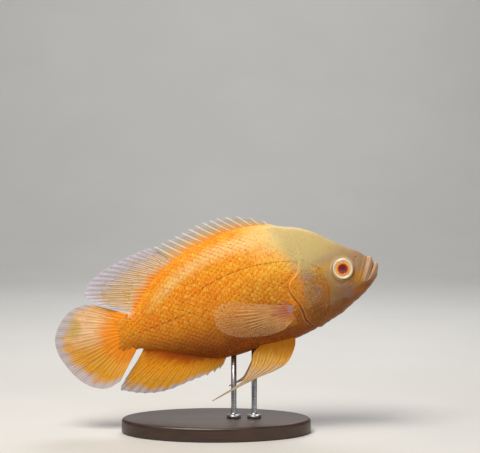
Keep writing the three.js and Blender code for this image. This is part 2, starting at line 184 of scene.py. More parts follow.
def unit(vectors: Array) -> Array:
    """The vectors' directions, each at length 1."""
    return vectors / np.maximum(np.linalg.norm(vectors, axis=-1, keepdims=True), 1e-9)


def to_world(reach: Array, height: Array, side: Array) -> Array:
    """Turn body-frame millimetres into world metres.

    The fish is tilted nose up about the Y axis and its snout is moved to its place on the stand.

    Args:
        reach: distance back from the snout.
        height: height above the body's axis.
        side: distance out to the left.

    Returns:
        Points, with x, y and z on the last axis.
    """
    c, s = math.cos(NOSE_UP), math.sin(NOSE_UP)
    x = SNOUT_X - c * reach - s * height
    z = SNOUT_Z - s * reach + c * height
    return np.stack(np.broadcast_arrays(x, side, z), axis=-1) * MM


@dataclass
class BodyForm:
    """The fish's body as one surface of loops, from inside the mouth to the tail.

    Each row of rings is one loop: its place in the order, its top point, its side point with the
    half width, its low point, and how far the upper and lower quarters are bent from an ellipse.
    """

    rings: Array = field(default_factory=lambda: np.array([
        (-10, 10.5, 1.0, 15.0, -6.0, 6.2, 8.8, -4.2, 1, 1),
        (-4, 6.8, 3.4, 14.8, -8.0, 8.8, 4.6, 1.0, 1, 1.2),
        (0, 4.9, 4.6, 14.6, -9.4, 10.2, 2.3, 3.7, 1, 1.25),
        (2, 3.5, 6.4, 14.9, -9.6, 11.0, 0.9, 3.2, 1, 1.2),
        (4, 3.2, 8.6, 15.6, -9.4, 11.6, 0.2, 1.5, 1, 1.15),
        (6.5, 4.2, 11.0, 17.0, -9.0, 12.1, 0.5, -1.2, 1, 1.1),
        (9, 6.4, 12.6, 18.6, -8.4, 12.5, 1.7, -5.0, 1, 1.05),
        (11.5, 8.2, 13.4, 20.2, -7.8, 12.9, 3.6, -7.6, 1, 1),
        (15, 11.0, 16.0, 22.0, -7.0, 13.5, 6.7, -10.7, 1, 1),
        (20, 15.5, 19.8, 24.8, -5.8, 14.3, 11.8, -14.9, 1, 1),
        (27, 22.5, 24.3, 28.4, -3.6, 15.3, 19.8, -20.1, 1, 1),
        (34, 30.3, 30.4, 33.2, -0.4, 16.4, 29.2, -24.9, 1.05, 1),
        (40, 38.0, 36.6, 38.8, 2.2, 17.5, 38.0, -29.6, 1.1, 1),
        *[(at, at, top, at, height, width, at, low, 1.15, 1) for at, top, height, width, low in (
            (46, 43.2, 4.0, 18.9, -32.4), (56, 49.0, 5.6, 21.0, -35.4), (68, 53.2, 6.4, 22.9, -38.6),
            (80, 57.0, 6.8, 23.9, -41.0), (96, 59.4, 7.2, 24.0, -41.4), (115, 59.4, 7.6, 22.6, -41.8),
            (135, 56.6, 7.0, 19.8, -43.0), (152, 52.2, 5.6, 16.4, -40.0), (168, 45.6, 3.8, 13.0, -34.4),
            (182, 37.4, 1.8, 10.2, -28.4), (194, 28.2, 0.0, 8.0, -22.8), (202, 19.4, -1.4, 6.8, -19.8),
            (208, 14.2, -2.2, 6.0, -18.2), (214, 13.6, -2.2, 5.2, -18.2), (222, 13.8, -2.4, 3.4, -18.8),
            (229, 12.0, -2.6, 1.9, -17.4), (234, 7.0, -3.0, 0.9, -12.6),
        )],
    ]))
    gill_rear: Outline = field(default_factory=lambda: Outline(
        (63, 45), (65, 24), (69, 14.5), (75.4, 9), (77.8, 4.5), (75.6, -4), (72.2, -10.6),
        (70.4, -18), (69.6, -25), (66, -31.5), (58, -37)))
    gill_front: Outline = field(default_factory=lambda: Outline(
        (60, 19), (52, 14.5), (47, 5), (45.5, -6), (48, -17), (55, -26), (63, -31)))

    def ring(self, at: Array, column: Loop) -> Array:
        """One value of the loops at any place in their order."""
        return smooth_through(self.rings[:, Loop.PLACE], self.rings[:, column], at)

    def loop_point(self, at: Array, angle: Array) -> Array:
        """Find points of the smooth form, drawn in by the coat's depth.

        The side is the half width times the sine of the angle from the top. Reach and height run
        from the side point to the top or low point by the cosine, the height's share bent by a
        power.

        Args:
            at: place in the order of the loops.
            angle: angle round the loop from its top, to the left first.

        Returns:
            Reach, height and side on the last axis.
        """
        cosine, sine = np.cos(angle), np.sin(angle)
        up = cosine >= 0
        share = np.abs(cosine)
        inset = COAT_DEPTH * smoothstep(-0.5, 2.0, at)
        end_reach = np.where(up, self.ring(at, Loop.TOP_REACH), self.ring(at, Loop.LOW_REACH))
        top_height = self.ring(at, Loop.TOP_HEIGHT) - inset
        low_height = self.ring(at, Loop.LOW_HEIGHT) + inset
        end_height = np.where(up, top_height, low_height)
        bend = np.where(up, self.ring(at, Loop.UPPER_BEND), self.ring(at, Loop.LOWER_BEND))
        side_reach, side_height = self.ring(at, Loop.SIDE_REACH), self.ring(at, Loop.SIDE_HEIGHT)
        reach = side_reach + (end_reach - side_reach) * share
        height = side_height + (end_height - side_height) * share**bend
        return np.stack([reach, height, (self.ring(at, Loop.HALF_WIDTH) - inset) * sine], axis=-1)

    def frame(self, at: Array, angle: Array) -> tuple[Array, Array, Array, Array]:
        """Measure the smooth form, by the differences between points a little either side.

        Args:
            at: place in the order of the loops.
            angle: angle round the loop.

        Returns:
            The point, its steps along and round the body, and its outward normal.
        """
        da, dt = 0.08, 0.004
        place = self.loop_point(at, angle)
        along = (self.loop_point(at + da, angle) - self.loop_point(at - da, angle)) / (2 * da)
        round_ = (self.loop_point(at, angle + dt) - self.loop_point(at, angle - dt)) / (2 * dt)
        return place, along, round_, unit(np.cross(round_, along))

    def relief(self, at: Array, angle: Array, place: Array) -> Array:
        """Work out how far the skin stands off the smooth form, in millimetres.

        It adds up bells and steps across named lines: the lips, the fold before the cheek, the gill
        cover, the eye and pores, the fin roots, the lateral line's groove, the soft swells of the
        muscle and the folds of the chin.

        Args:
            at: place in the order of the loops.
            angle: angle round the loop.
            place: reach, height and side of the smooth form.

        Returns:
            The stand-off at each point.
        """
        reach, height, side = place[..., 0], place[..., 1], place[..., 2]
        cosine = np.cos(angle)
        flank = smoothstep(5.0, 10.0, np.abs(side))
        out = self.lip_relief(at, angle)
        out -= 0.35 * hump(at - (18.0 + 3.0 * cosine), 1.1) * flank
        out += self.gill_relief(reach, height, flank)
        out += self.eye_relief(reach, height) * flank
        out += self.root_relief(reach, height, side, cosine)
        out -= 0.3 * hump(self.lateral_line(reach, height), 0.55) * flank
        swell = 0.16 * np.sin(reach * 0.21 + 1.3 * np.sin(height * 0.13)) * np.sin(height * 0.17 + 0.7)
        out += swell * smoothstep(24.0, 60.0, at) * smoothstep(228.0, 205.0, at)
        chin = np.sin(at * 1.15 + 0.4 * np.cos(angle * 3)) * (cosine < -0.45)
        return out + 0.13 * chin * smoothstep(14, 22, at) * smoothstep(64, 48, at)

    @staticmethod
    def lip_relief(at: Array, angle: Array) -> Array:
        """Shape the lips by their bells, less so at the mouth's corners, with wrinkles behind them.

        Args:
            at: place in the order of the loops.
            angle: angle round the loop.

        Returns:
            The lips' share of the stand-off.
        """
        cosine = np.cos(angle)
        upper = smoothstep(-0.25, 0.25, cosine)
        rolls = upper * bells(at, UPPER_LIP) + (1 - upper) * bells(at, LOWER_LIP)
        behind = smoothstep(9, 13, at) * smoothstep(26, 18, at)
        wrinkles = np.sin(at * 5.2 + 2.0 * np.sin(angle * 7.0)) * behind
        return rolls * (0.25 + 0.75 * smoothstep(0.02, 0.4, np.abs(cosine))) + 0.05 * wrinkles

    def gill_relief(self, reach: Array, height: Array, flank: Array) -> Array:
        """Shape the gill cover: its lifted free edge, the crease behind that and the groove in front.

        Args:
            reach: distance back from the snout.
            height: height above the axis.
            flank: share of the groove that there is, 1 out on the flank and 0 near the midline.

        Returns:
            The gill cover's share of the stand-off.
        """
        rear, inside, front, cheek = self.gill_lines(reach, height)
        edge = 1.25 * smoothstep(-0.25, 0.55, rear) * np.exp(-np.maximum(rear, 0) / 11.0)
        crease = -0.6 * hump(np.minimum(rear + 0.2, 0.0), 2.6)
        edge += np.where(rear < 0.3, crease, crease * hump(rear - 0.3, 0.4))
        edge += 0.35 * hump(rear - 3.2, 1.2) * smoothstep(4.0, 8.0, rear + 6.0)
        groove = 0.45 * smoothstep(-0.3, 1.2, front) * np.exp(-np.maximum(front, 0) / 8.0)
        groove += 0.3 * hump(front + 4.6, 1.6) - 0.5 * hump(front + 0.5, 0.75)
        return inside * edge + cheek * flank * groove

    def eye_relief(self, reach: Array, height: Array) -> Array:
        """Shape the eye's rim and socket, the crease under them, and the nostril and pores.

        Args:
            reach: distance back from the snout.
            height: height above the axis.

        Returns:
            Their share of the stand-off.
        """
        eye = self.from_eye(reach, height)
        out = 0.4 * hump(eye - EYE_RING - 1.2, 1.0) - 5.5 * smoothstep(EYE_RING - 0.1, EYE_RING - 0.9, eye)
        out -= 0.35 * hump(eye - EYE_CREASE, 0.9) * smoothstep(6.0, -3.0, height)
        for back, up, size, deep in PORES:
            hole = np.hypot(reach - back, height - up)
            out += 0.25 * hump(hole - 1.6 * size, 0.5 * size) - deep * hump(hole, size)
        return out

    @staticmethod
    def root_relief(reach: Array, height: Array, side: Array, cosine: Array) -> Array:
        """Shape the fins' fleshy roots: ridges on back and belly, and lobes for the paired fins.

        Args:
            reach: distance back from the snout.
            height: height above the axis.
            side: distance out from the midline.
            cosine: cosine of the angle round the loop, above 0 on the upper half.

        Returns:
            The roots' share of the stand-off.
        """
        to_tail = smoothstep(212.0, 205.0, reach)
        out = 1.25 * smoothstep(73.0, 82.0, reach) * to_tail * hump(side, 2.2) * (cosine > 0)
        out += 1.25 * smoothstep(137.0, 145.0, reach) * to_tail * hump(side, 2.0) * (cosine < 0)
        breast = np.hypot(reach - 77.0, (height + 16.5) / 1.5)
        out += 2.6 * smoothstep(5.0, 10.0, np.abs(side)) * hump(breast, 4.4)
        belly = np.hypot((reach - 97.0) / 2.6, height + 40.0)
        return out + hump(belly, 5.0) * (cosine < 0) * hump(np.abs(side) - 6.0, 3.0)

    @staticmethod
    def from_eye(reach: Array, height: Array) -> Array:
        """The distance from the middle of the eye, seen from the side."""
        return np.hypot(reach - EYE_REACH, height - EYE_HEIGHT)

    def gill_lines(self, reach: Array, height: Array) -> tuple[Array, Array, Array, Array]:
        """Measure points against the gill cover's free rear edge and the groove before it.

        Args:
            reach: distance back from the snout.
            height: height above the axis.

        Returns:
            The distance ahead of the rear edge and the share to which it is there, then the
            distance behind the groove and the share to which that is there.
        """
        u = np.linspace(0.0, 1.0, 160)
        found = []
        for line in (self.gill_rear, self.gill_front):
            back, up = line.at(u)
            found.append(np.interp(np.clip(height, up[-1], up[0]), up[::-1], back[::-1]))
        inside = smoothstep(40.0, 16.0, height) * smoothstep(-39.0, -34.0, height)
        cheek = smoothstep(22.0, 15.0, height) * smoothstep(-33.0, -27.0, height)
        return found[0] - reach, inside, reach - found[1], cheek

    def crease(self, place: Array) -> Array:
        """How deep in the gill opening's crease, or half as much in the groove before it, a point is."""
        rear, inside, front, cheek = self.gill_lines(place[..., 0], place[..., 1])
        return np.maximum(inside * hump(rear + 0.3, 0.9), 0.5 * cheek * hump(front + 0.5, 0.7))

    @staticmethod
    def lateral_line(reach: Array, height: Array) -> Array:
        """Measure points against the lateral line's two lengths, smooth curves through their knots.

        Args:
            reach: distance back from the snout.
            height: height above the axis.

        Returns:
            The distance from the nearer length.
        """
        found = []
        for back, up in LATERAL_LINE:
            within = np.clip(reach, back[0], back[-1])
            found.append(np.hypot(height - smooth_through(back, up, within), reach - within))
        return np.minimum(*found)

    def surface(self, at: Array, angle: Array, lift: Array | float = 0.0) -> Array:
        """Find points over the skin.

        Args:
            at: place in the order of the loops.
            angle: angle round the loop.
            lift: distance off the skin, outwards.

        Returns:
            Reach, height and side on the last axis.
        """
        place, _, _, normal = self.frame(at, angle)
        return place + normal * (self.relief(at, angle, place) + lift)[..., None]

    def half_width(self, reach: Array, height: Array) -> Array:
        """Work out how thick the body is behind the head, by undoing the power that bends a loop.

        Args:
            reach: distance back from the snout.
            height: height above the axis.

        Returns:
            Half the body's thickness.
        """
        side, width = self.ring(reach, Loop.SIDE_HEIGHT), self.ring(reach, Loop.HALF_WIDTH)
        up = height >= side
        end = np.where(up, self.ring(reach, Loop.TOP_HEIGHT), self.ring(reach, Loop.LOW_HEIGHT))
        share = np.clip((height - side) / (end - side), 0.0, 1.0)
        bend = np.where(up, self.ring(reach, Loop.UPPER_BEND), self.ring(reach, Loop.LOWER_BEND))
        return width * np.sqrt(1 - share ** (2 / bend))


class Wire:
    """A shader value: arithmetic on it adds Math nodes to its graph."""

    def __init__(self, graph: "Graph", socket: Any) -> None:
        """Keep the graph and the output socket."""
        self.graph = graph
        self.socket = socket

    def _with(self, operation: str, *values: Any) -> "Wire":
        """Add one Math node over the values."""
        return self.graph.node("ShaderNodeMath", {"operation": operation}, dict(enumerate(values)))

    def __add__(self, other: Any) -> "Wire":
        """This value plus another."""
        return self._with("ADD", self, other)

    def __sub__(self, other: Any) -> "Wire":
        """This value less another."""
        return self._with("SUBTRACT", self, other)

    def __rsub__(self, other: Any) -> "Wire":
        """Another value less this one."""
        return self._with("SUBTRACT", other, self)

    def __mul__(self, other: Any) -> "Wire":
        """This value times another."""
        return self._with("MULTIPLY", self, other)

    def __truediv__(self, other: Any) -> "Wire":
        """This value over another."""
        return self._with("DIVIDE", self, other)

    __radd__ = __add__
    __rmul__ = __mul__

    def sine(self) -> "Wire":
        """The sine of this value in radians."""
        return self._with("SINE", self)

    def root(self) -> "Wire":
        """The square root of this value."""
        return self._with("SQRT", self)

    def above(self, least: float) -> "Wire":
        """This value, or the least where it is lower."""
        return self._with("MAXIMUM", self, least)

    def absolute(self) -> "Wire":
        """This value without its sign."""
        return self._with("ABSOLUTE", self)

    def rise(self, low: float, high: float) -> "Wire":
        """Rise smoothly from 0 to 1, or fall where low is the greater.

        Args:
            low: the value at which it is 0.
            high: the value at which it is 1.

        Returns:
            The share, from 0 to 1.
        """
        flip = low > high
        first, last = (high, low) if flip else (low, high)
        ends = (1.0, 0.0) if flip else (0.0, 1.0)
        return self.graph.node(
            "ShaderNodeMapRange", {"interpolation_type": "SMOOTHSTEP"},
            {"Value": self, "From Min": first, "From Max": last, "To Min": ends[0], "To Max": ends[1]})

    def bell(self, centre: float, width: float) -> "Wire":
        """A bump that is 1 at the centre and 0 a width away from it."""
        return (self - centre).absolute().rise(width, 0.0)


def linear(code: str) -> tuple[float, float, float, float]:
    """Turn a hex colour as seen on a screen into linear light."""
    parts = [int(code[i : i + 2], 16) / 255 for i in (0, 2, 4)]
    return (*[p / 12.92 if p <= 0.04045 else ((p + 0.055) / 1.055) ** 2.4 for p in parts], 1.0)


class Graph:
    """One material's node tree, with a Principled shader at its end."""

    def __init__(self, name: str, constants: dict[str, Any]) -> None:
        """Make the material.

        Args:
            name: the material's name.
            constants: fixed values of the shader's own sockets.
        """
        self.material = bpy.data.materials.new(name)
        self.material.use_nodes = True
        self.tree = self.material.node_tree
        self.shader = self.tree.nodes["Principled BSDF"]
        for socket, value in constants.items():
            self.shader.inputs[socket].default_value = value

    def node(self, kind: str, settings: dict[str, Any], inputs: dict[Any, Any], out: Any = 0) -> Wire:
        """Add any node.

        Args:
            kind: the node's type.
            settings: the node's own properties, set first.
            inputs: a value or a Wire for each socket, by name or number.
            out: the output to return, by name or number.

        Returns:
            The output as a Wire.
        """
        node = self.tree.nodes.new(kind)
        for key, value in settings.items():
            setattr(node, key, value)
        for key, value in inputs.items():
            if isinstance(value, Wire):
                self.tree.links.new(value.socket, node.inputs[key])
            else:
                node.inputs[key].default_value = value
        return Wire(self, node.outputs[out])

    def pair(self, name: str) -> tuple[Wire, Wire]:
        """Read one of the surface's maps.

        Args:
            name: the map's name.

        Returns:
            Its two values.
        """
        uv = self.node("ShaderNodeUVMap", {"uv_map": name}, {})
        split = self.node("ShaderNodeSeparateXYZ", {}, {0: uv}).socket.node
        return Wire(self, split.outputs[0]), Wire(self, split.outputs[1])

    def mix(self, first: Any, second: Any, share: Any) -> Wire:
        """Blend two colours by a share, which may be a number or a Wire."""
        colours = [linear(c) if isinstance(c, str) else c for c in (first, second)]
        return self.node("ShaderNodeMix", {"data_type": "RGBA", "clamp_factor": True},
                         {0: share, 6: colours[0], 7: colours[1]}, 2)

    def noise(self, vector: Any, scale: float, detail: float = 3.0, rough: float = 0.55) -> Wire:
        """Soft cloudy noise between 0 and 1."""
        return self.node("ShaderNodeTexNoise", {}, {"Vector": vector, "Scale": scale, "Detail": detail,
                                                    "Roughness": rough})

    def combine(self, x: Any, y: Any, z: Any) -> Wire:
        """A vector from three values."""
        return self.node("ShaderNodeCombineXYZ", {}, {0: x, 1: y, 2: z})

    def blob(self, reach: Wire, height: Wire, place: tuple[float, float], size: tuple[float, float]) -> Wire:
        """A soft oval patch that is 1 inside and 0 outside."""
        across, up = (reach - place[0]) / size[0], (height - place[1]) / size[1]
        return (across * across + up * up).rise(1.65, 0.1)

    def bump(self, height: Wire, distance: float, strength: float = 1.0) -> Wire:
        """A normal bumped by a height between 0 and 1 over a distance in metres."""
        inputs = {"Height": height, "Distance": distance, "Strength": strength}
        return self.node("ShaderNodeBump", {}, inputs)

    def body_place(self) -> tuple[Wire, Wire, Wire]:
        """Reach, height and side of a surface point in millimetres, from Object coordinates.

        The world place, less the snout's, is turned back by the fish's tilt.

        Returns:
            Reach, height and side.
        """
        coordinates = self.node("ShaderNodeTexCoord", {}, {}, "Object")
        split = self.node("ShaderNodeSeparateXYZ", {}, {0: coordinates}).socket.node
        x, y, z = (Wire(self, split.outputs[i]) for i in range(3))
        x, z = x * 1000 - SNOUT_X, z * 1000 - SNOUT_Z
        c, s = math.cos(NOSE_UP), math.sin(NOSE_UP)
        return (x * -c) - (z * s), (z * c) - (x * s), y * 1000

    def finish(self, **outputs: Wire) -> Any:
        """Link what varies to the shader and hand back the material.

        Args:
            outputs: a Wire for each shader socket, with _ for a space.

        Returns:
            The material.
        """
        for key, wire in outputs.items():
            self.tree.links.new(wire.socket, self.shader.inputs[key.replace("_", " ")])
        return self.material


WET = {"Roughness": 0.36, "Coat Weight": 0.1, "Coat Roughness": 0.18, "Specular IOR Level": 0.13,
       "Subsurface Weight": 0.08, "Subsurface Radius": (0.006, 0.002, 0.0008), "Subsurface Scale": 0.3}

# Soft oval patches of the markings, and on the flank one painted highlight: each one's colour, its middle,
# its half sizes and its strength.
FACE_ZONES: tuple[Zone, ...] = (
    ("C9A55E", (43.0, 6.0), (9.0, 13.0), 0.6),
    ("DE9820", (20.5, -1.8), (8.0, 6.0), 0.75),
    ("A87C62", (31.0, -9.5), (12.0, 5.5), 0.75),
    ("A68A80", (28.0, -13.5), (6.0, 4.0), 0.55),
    ("B08A48", (41.0, -6.0), (6.0, 7.0), 0.6),
    ("C87008", (21.0, -12.5), (5.5, 3.0), 0.85),
    ("C47810", (52.0, -4.0), (9.0, 14.0), 0.85),
    ("EDB23C", (50.0, 12.5), (9.0, 4.0), 0.6),
    ("9A5600", (60.0, -24.0), (15.0, 10.0), 0.9),
    ("AC948A", (62.0, 9.0), (7.0, 5.0), 0.7),
    ("A88E84", (55.0, -5.0), (4.0, 7.0), 0.65),
    ("A98F84", (65.0, -3.0), (3.0, 5.0), 0.6),
    ("B89C7E", (36.0, 19.0), (12.0, 5.0), 0.4),
    ("D9822A", (72.0, -2.0), (5.0, 10.0), 0.4),
)
FLANK_ZONES: tuple[Zone, ...] = (
    ("C98070", (86.0, -13.0), (9.0, 5.0), 0.85),
    ("E8A82A", (83.0, -22.5), (4.0, 3.0), 0.8),
    # A painted highlight in pale cream on the top of the tail stalk.
    ("FFE6C0", (213.0, 13.0), (10.0, 3.5), 0.8),
    ("F2C24A", (84.0, 24.0), (16.0, 9.0), 0.45),
    ("F77E10", (150.0, 18.0), (32.0, 12.0), 0.5),
    ("F57A12", (196.0, 6.0), (16.0, 10.0), 0.5),
    ("C8841E", (96.0, 4.0), (24.0, 14.0), 0.45),
)


class BodyGraph(Graph):
    """A graph that knows its place on the body, with the noises that break up the markings' edges."""

    def __init__(self, name: str, constants: dict[str, Any]) -> None:
        """Read the place and make the noises: broad clouds, patches and fine upright grain.

        Args:
            name: the material's name.
            constants: fixed values of the shader's own sockets.
        """
        super().__init__(name, constants)
        self.reach, self.height, self.side = self.body_place()
        self.place = self.combine(self.reach, self.height, self.side)
        cloud = self.noise(self.place, 0.055, 4.0) - 0.5
        self.patch = self.noise(self.place, 0.2, 4.0, 0.65) - 0.5
        upright = self.combine(self.reach * 1.15, self.height * 0.42, self.side * 0.5)
        self.grain = self.noise(upright, 0.8, 2.0, 0.65)
        self.soft_reach = self.reach + cloud * 26.0 + self.patch * 8.0
        self.soft_height = self.height + cloud * 22.0 - self.patch * 8.0


@dataclass(frozen=True)
class SkinFinish:
    """The markings of skin and coat, with painted shade and painted highlights, laid out over the body frame
    in millimetres.
    """

    name: str
    coat: bool = False
    gold: str = "FB9A10"
    rust: str = "DD6206"
    yellow: str = "FFD050"
    cream: str = "DFCA86"
    # Pale peach of the painted highlight along the upper flank.
    peach_highlight: str = "FFCB84"
    ridge: str = "F08A1C"
    # Deep amber of the belly, darkened further as painted shade.
    belly: str = "8E4400"
    shade: str = "6A2C00"
    rust_speck: str = "B4520A"
    pale_speck: str = "FBE2A2"
    pore: str = "7E3C1C"
    beige: str = "B08E6A"
    # Dark amber of the throat, darkened further as painted shade.
    throat: str = "985600"
    cheek_fleck: str = "C98A2A"
    face_smudge: str = "8E7450"
    face_tan: str = "6A4A20"
    cover_dark: str = "A85004"
    cover_light: str = "F0B040"
    scale_rim: str = "FCDF9C"
    scale_middle: str = "B9560A"
    lip: str = "C4A47E"
    lip_shade: str = "BC9270"
    lip_fold: str = "D98E74"
    # Pink of the mouth's lining, painted paler than it is as painted light against the shade inside the
    # mouth.
    mouth: str = "FFB49C"
    # Dark brown of the painted shade in the gill opening's crease.
    gill_crease_shade: str = "7A3A10"
    gill_rim: str = "F2CC94"
    # Dark brown of the painted shade in the nostril's hole.
    nostril: str = "6B3F2C"
    # Painted shade under the eye's rim and painted light over it.
    socket_shade: str = "7E4418"
    socket_light: str = "E3CFA4"

    def flank_colour(self, g: BodyGraph) -> Wire:
        """Colour the flank: gold down to a belly that is dark partly in its own colour and partly in painted
        shade, a painted highlight of peach along the back, and cream on the nape.

        Args:
            g: the material's graph over the body.

        Returns:
            The colour.
        """
        reach, height = g.reach, g.height
        behind, ahead = (reach - 112.0).above(0.0), (96.0 - reach).above(0.0)
        below_ridge = 60.0 - behind * behind * 0.0048 - ahead * ahead * 0.0078 - height + g.patch * 10.0
        # Darker towards the belly: partly the belly's own deeper amber, partly painted shade.
        c = g.mix(self.gold, self.belly, g.soft_height.rise(0.0, -36.0) * 0.95)
        # The flank's patches, one of them the painted highlight on the tail stalk.
        for code, centre, size, share in FLANK_ZONES:
            c = g.mix(c, code, g.blob(g.soft_reach, g.soft_height, centre, size) * share)
        # A band of painted highlight in pale peach along the upper flank, below the back's ridge.
        highlight_band = below_ridge.bell(13.0, 9.0) * reach.rise(84.0, 110.0) * reach.rise(205.0, 170.0)
        c = g.mix(c, self.peach_highlight, highlight_band * 0.75)
        c = g.mix(c, self.ridge, below_ridge.rise(7.0, 2.0) * reach.rise(100.0, 150.0) * 0.6)
        c = g.mix(c, self.cream, below_ridge.rise(34.0, 16.0) * g.soft_reach.rise(118.0, 74.0) * 0.95)
        light = g.grain.rise(0.53, 0.66) * height.rise(-30.0, 20.0) * reach.rise(60.0, 80.0)
        c = g.mix(c, self.yellow, light * 0.62)
        dark = g.grain.rise(0.46, 0.34) * reach.rise(66.0, 86.0) * below_ridge.rise(4.0, 22.0)
        return g.mix(c, self.rust, dark * 0.6)

    def face_colour(self, g: BodyGraph) -> Wire:
        """Colour the head: beige, with a cream brow, a throat that is dark partly in its own colour and
        partly in painted shade, and the face's own patches.

        Args:
            g: the material's graph over the body.

        Returns:
            The colour.
        """
        reach, height, patch = g.reach, g.height, g.patch
        c = g.mix(self.beige, self.cream, (height + reach * 0.5).rise(24.0, 56.0) * 0.75)
        # Darker towards the throat: partly its own amber, partly painted shade.
        c = g.mix(c, self.throat, (g.soft_height + reach * 0.34).rise(5.0, -8.0) * 0.92)
        for code, centre, size, share in FACE_ZONES:
            c = g.mix(c, code, g.blob(reach + patch * 16.0, height - patch * 14.0, centre, size) * share)
        fleck = g.grain.rise(0.5, 0.62) * reach.rise(40.0, 52.0) * height.rise(20.0, 8.0)
        c = g.mix(c, self.cheek_fleck, fleck * 0.45)
        c = g.mix(c, self.face_smudge, patch.rise(0.04, 0.2) * 0.22)
        return g.mix(c, self.face_tan, 0.16)

    @staticmethod
    def pore_line(g: BodyGraph) -> Wire:
        """Draw the lateral line: a bowed length in front and a straight one behind, both of pores.

        Args:
            g: the material's graph over the body.

        Returns:
            How much of the line there is.
        """
        reach, height = g.reach, g.height
        back = reach - 106.0
        front = (height - 28.6 + back * back * 0.0039 + back * 0.035).absolute()
        rear = (height - 1.6 + (reach - 170.0) * 0.145).absolute()
        pores = g.noise(g.combine(reach * 0.5, 0.0, 0.0), 1.0, 0.0).rise(0.44, 0.54)
        line = front.rise(0.75, 0.2) * reach.rise(66.0, 72.0) * reach.rise(167.0, 160.0)
        line = line + rear.rise(0.75, 0.2) * reach.rise(158.0, 164.0) * reach.rise(222.0, 212.0)
        return line * (0.2 + pores * 0.8)

    def colour(self, g: BodyGraph) -> Wire:
        """Join flank and face, then add specks, the gill cover's mottle, shade and lateral line.

        Args:
            g: the material's graph over the body.

        Returns:
            The colour.
        """
        reach, height = g.reach, g.height
        head = (reach + g.patch * 12.0 + (height - 10.0).above(0.0) * -0.35).rise(74.0, 58.0)
        c = g.mix(self.flank_colour(g), self.face_colour(g), head)
        speck = g.noise(g.place, 1.15, 2.0)
        c = g.mix(c, self.rust_speck, speck.rise(0.62, 0.7) * reach.rise(50.0, 74.0) * 0.3)
        cover = reach.rise(44.0, 50.0) * reach.rise(80.0, 74.0)
        cover = cover * height.rise(20.0, 13.0) * height.rise(-32.0, -20.0)
        mottle = g.noise(g.place, 0.42, 4.0, 0.7)
        c = g.mix(c, self.cover_dark, mottle.rise(0.54, 0.62) * cover * 0.6)
        c = g.mix(c, self.cover_light, mottle.rise(0.45, 0.38) * cover * 0.5)
        c = g.mix(c, self.shade, height.rise(26.0, -40.0) * 0.46)
        c = g.mix(c, self.pale_speck, speck.rise(0.37, 0.29) * 0.22)
        return g.mix(c, self.pore, self.pore_line(g) * 0.7)

    def dress_coat(self, g: BodyGraph, colour: Wire, fine: Wire) -> Any:
        """Give each scale its own tone, a pale rim and growth rings.

        Args:
            g: the material's graph over the body.
            colour: the markings.
            fine: fine noise for the bump and roughness.

        Returns:
            The material.
        """
        along, across = g.pair("scale")
        tone, _ = g.pair("tone")
        body = g.reach.rise(60.0, 84.0)
        c = g.mix(colour, self.yellow, tone.rise(0.7, 1.0) * g.height.rise(-26.0, 10.0) * body * 0.26)
        c = g.mix(c, self.rust, tone.rise(0.3, 0.0) * body * 0.24)
        c = g.mix(c, self.scale_rim, along.rise(0.76, 0.99) * (g.height.rise(-40.0, 10.0) * 0.16 + 0.06))
        c = g.mix(c, self.scale_middle, along.bell(0.5, 0.22) * body * 0.16)
        rings = (along * 70.0).sine() * 0.5 + 0.5
        bumps = rings * 0.4 + (across * 60.0).sine() * 0.2 + fine
        return g.finish(Base_Color=c, Roughness=fine * 0.22 + 0.27, Normal=g.bump(bumps, 0.00008, 0.6))

    def dress_skin(self, g: BodyGraph, colour: Wire, fine: Wire) -> Any:
        """Tint the lips; paint the mouth's lining paler, as painted light against the shade inside it; paint
        shade into the gill's creases, with a pale rim at their edge, and into the nostril; and paint shade
        under the eye's rim and light over it.

        Args:
            g: the material's graph over the body.
            colour: the markings.
            fine: fine noise for the bump and roughness.

        Returns:
            The material.
        """
        order, crease = g.pair("order")
        ahead = (g.reach - g.height * 0.25).rise(19.0, 15.0)
        lips = order.rise(-0.8, 0.6) * order.rise(8.2, 7.2) * ahead
        fold = order.rise(7.6, 8.6) * order.rise(10.6, 8.6) * ahead
        skin = g.mix(self.lip_shade, self.lip, fine.rise(0.3, 0.6))
        c = g.mix(colour, skin, lips * 0.85 + fold * 0.45)
        c = g.mix(c, self.lip_fold, order.bell(3.8, 1.0) * 0.55 + order.bell(9.6, 1.5) * 0.35)
        # The mouth's lining: its own pink, painted pale as painted light against the shade inside.
        c = g.mix(c, self.mouth, order.rise(0.4, -1.4))
        # Painted shade in the gill opening's crease and, weaker, in the groove before it, deeper lower down.
        c = g.mix(c, self.gill_crease_shade, crease.rise(0.2, 0.95) * (g.height.rise(2.0, -12.0) * 0.45 + 0.25))
        c = g.mix(c, self.gill_rim, crease.bell(0.12, 0.1) * g.reach.rise(62.0, 70.0) * 0.6)
        # Painted shade in the nostril's hole, out on the side of the head.
        nostril = g.reach.bell(NOSTRIL[0], 0.9) * g.height.bell(NOSTRIL[1], 0.9)
        c = g.mix(c, self.nostril, nostril * g.side.absolute().rise(3.0, 6.0))
        x, z = g.reach - (EYE_REACH + 0.2), g.height - (EYE_HEIGHT - 0.6)
        eye = (x * x + z * z).root()
        # Painted shade under the eye's rim and painted light over its upper side.
        c = g.mix(c, self.socket_shade, eye.bell(EYE_RING + 1.0, 1.6) * g.height.rise(10.0, 1.0) * 0.5)
        c = g.mix(c, self.socket_light, eye.bell(EYE_RING + 1.2, 1.6) * g.height.rise(6.0, 14.0) * 0.5)
        grit = g.noise(g.place, 0.9, 3.0, 0.7)
        bumps = fine + grit * 0.8 + g.noise(g.place, 4.0, 2.0) * 0.4
        return g.finish(Base_Color=c, Roughness=fine * 0.2 + 0.27, Normal=g.bump(bumps, 0.00022, 0.7))

    def build(self) -> Any:
        """Make the material: the markings, then what only the coat or only the skin has.

        Returns:
            The material.
        """
        g = BodyGraph(self.name, WET)
        dress = self.dress_coat if self.coat else self.dress_skin
        return dress(g, self.colour(g), g.noise(g.place, 1.6, 3.0))


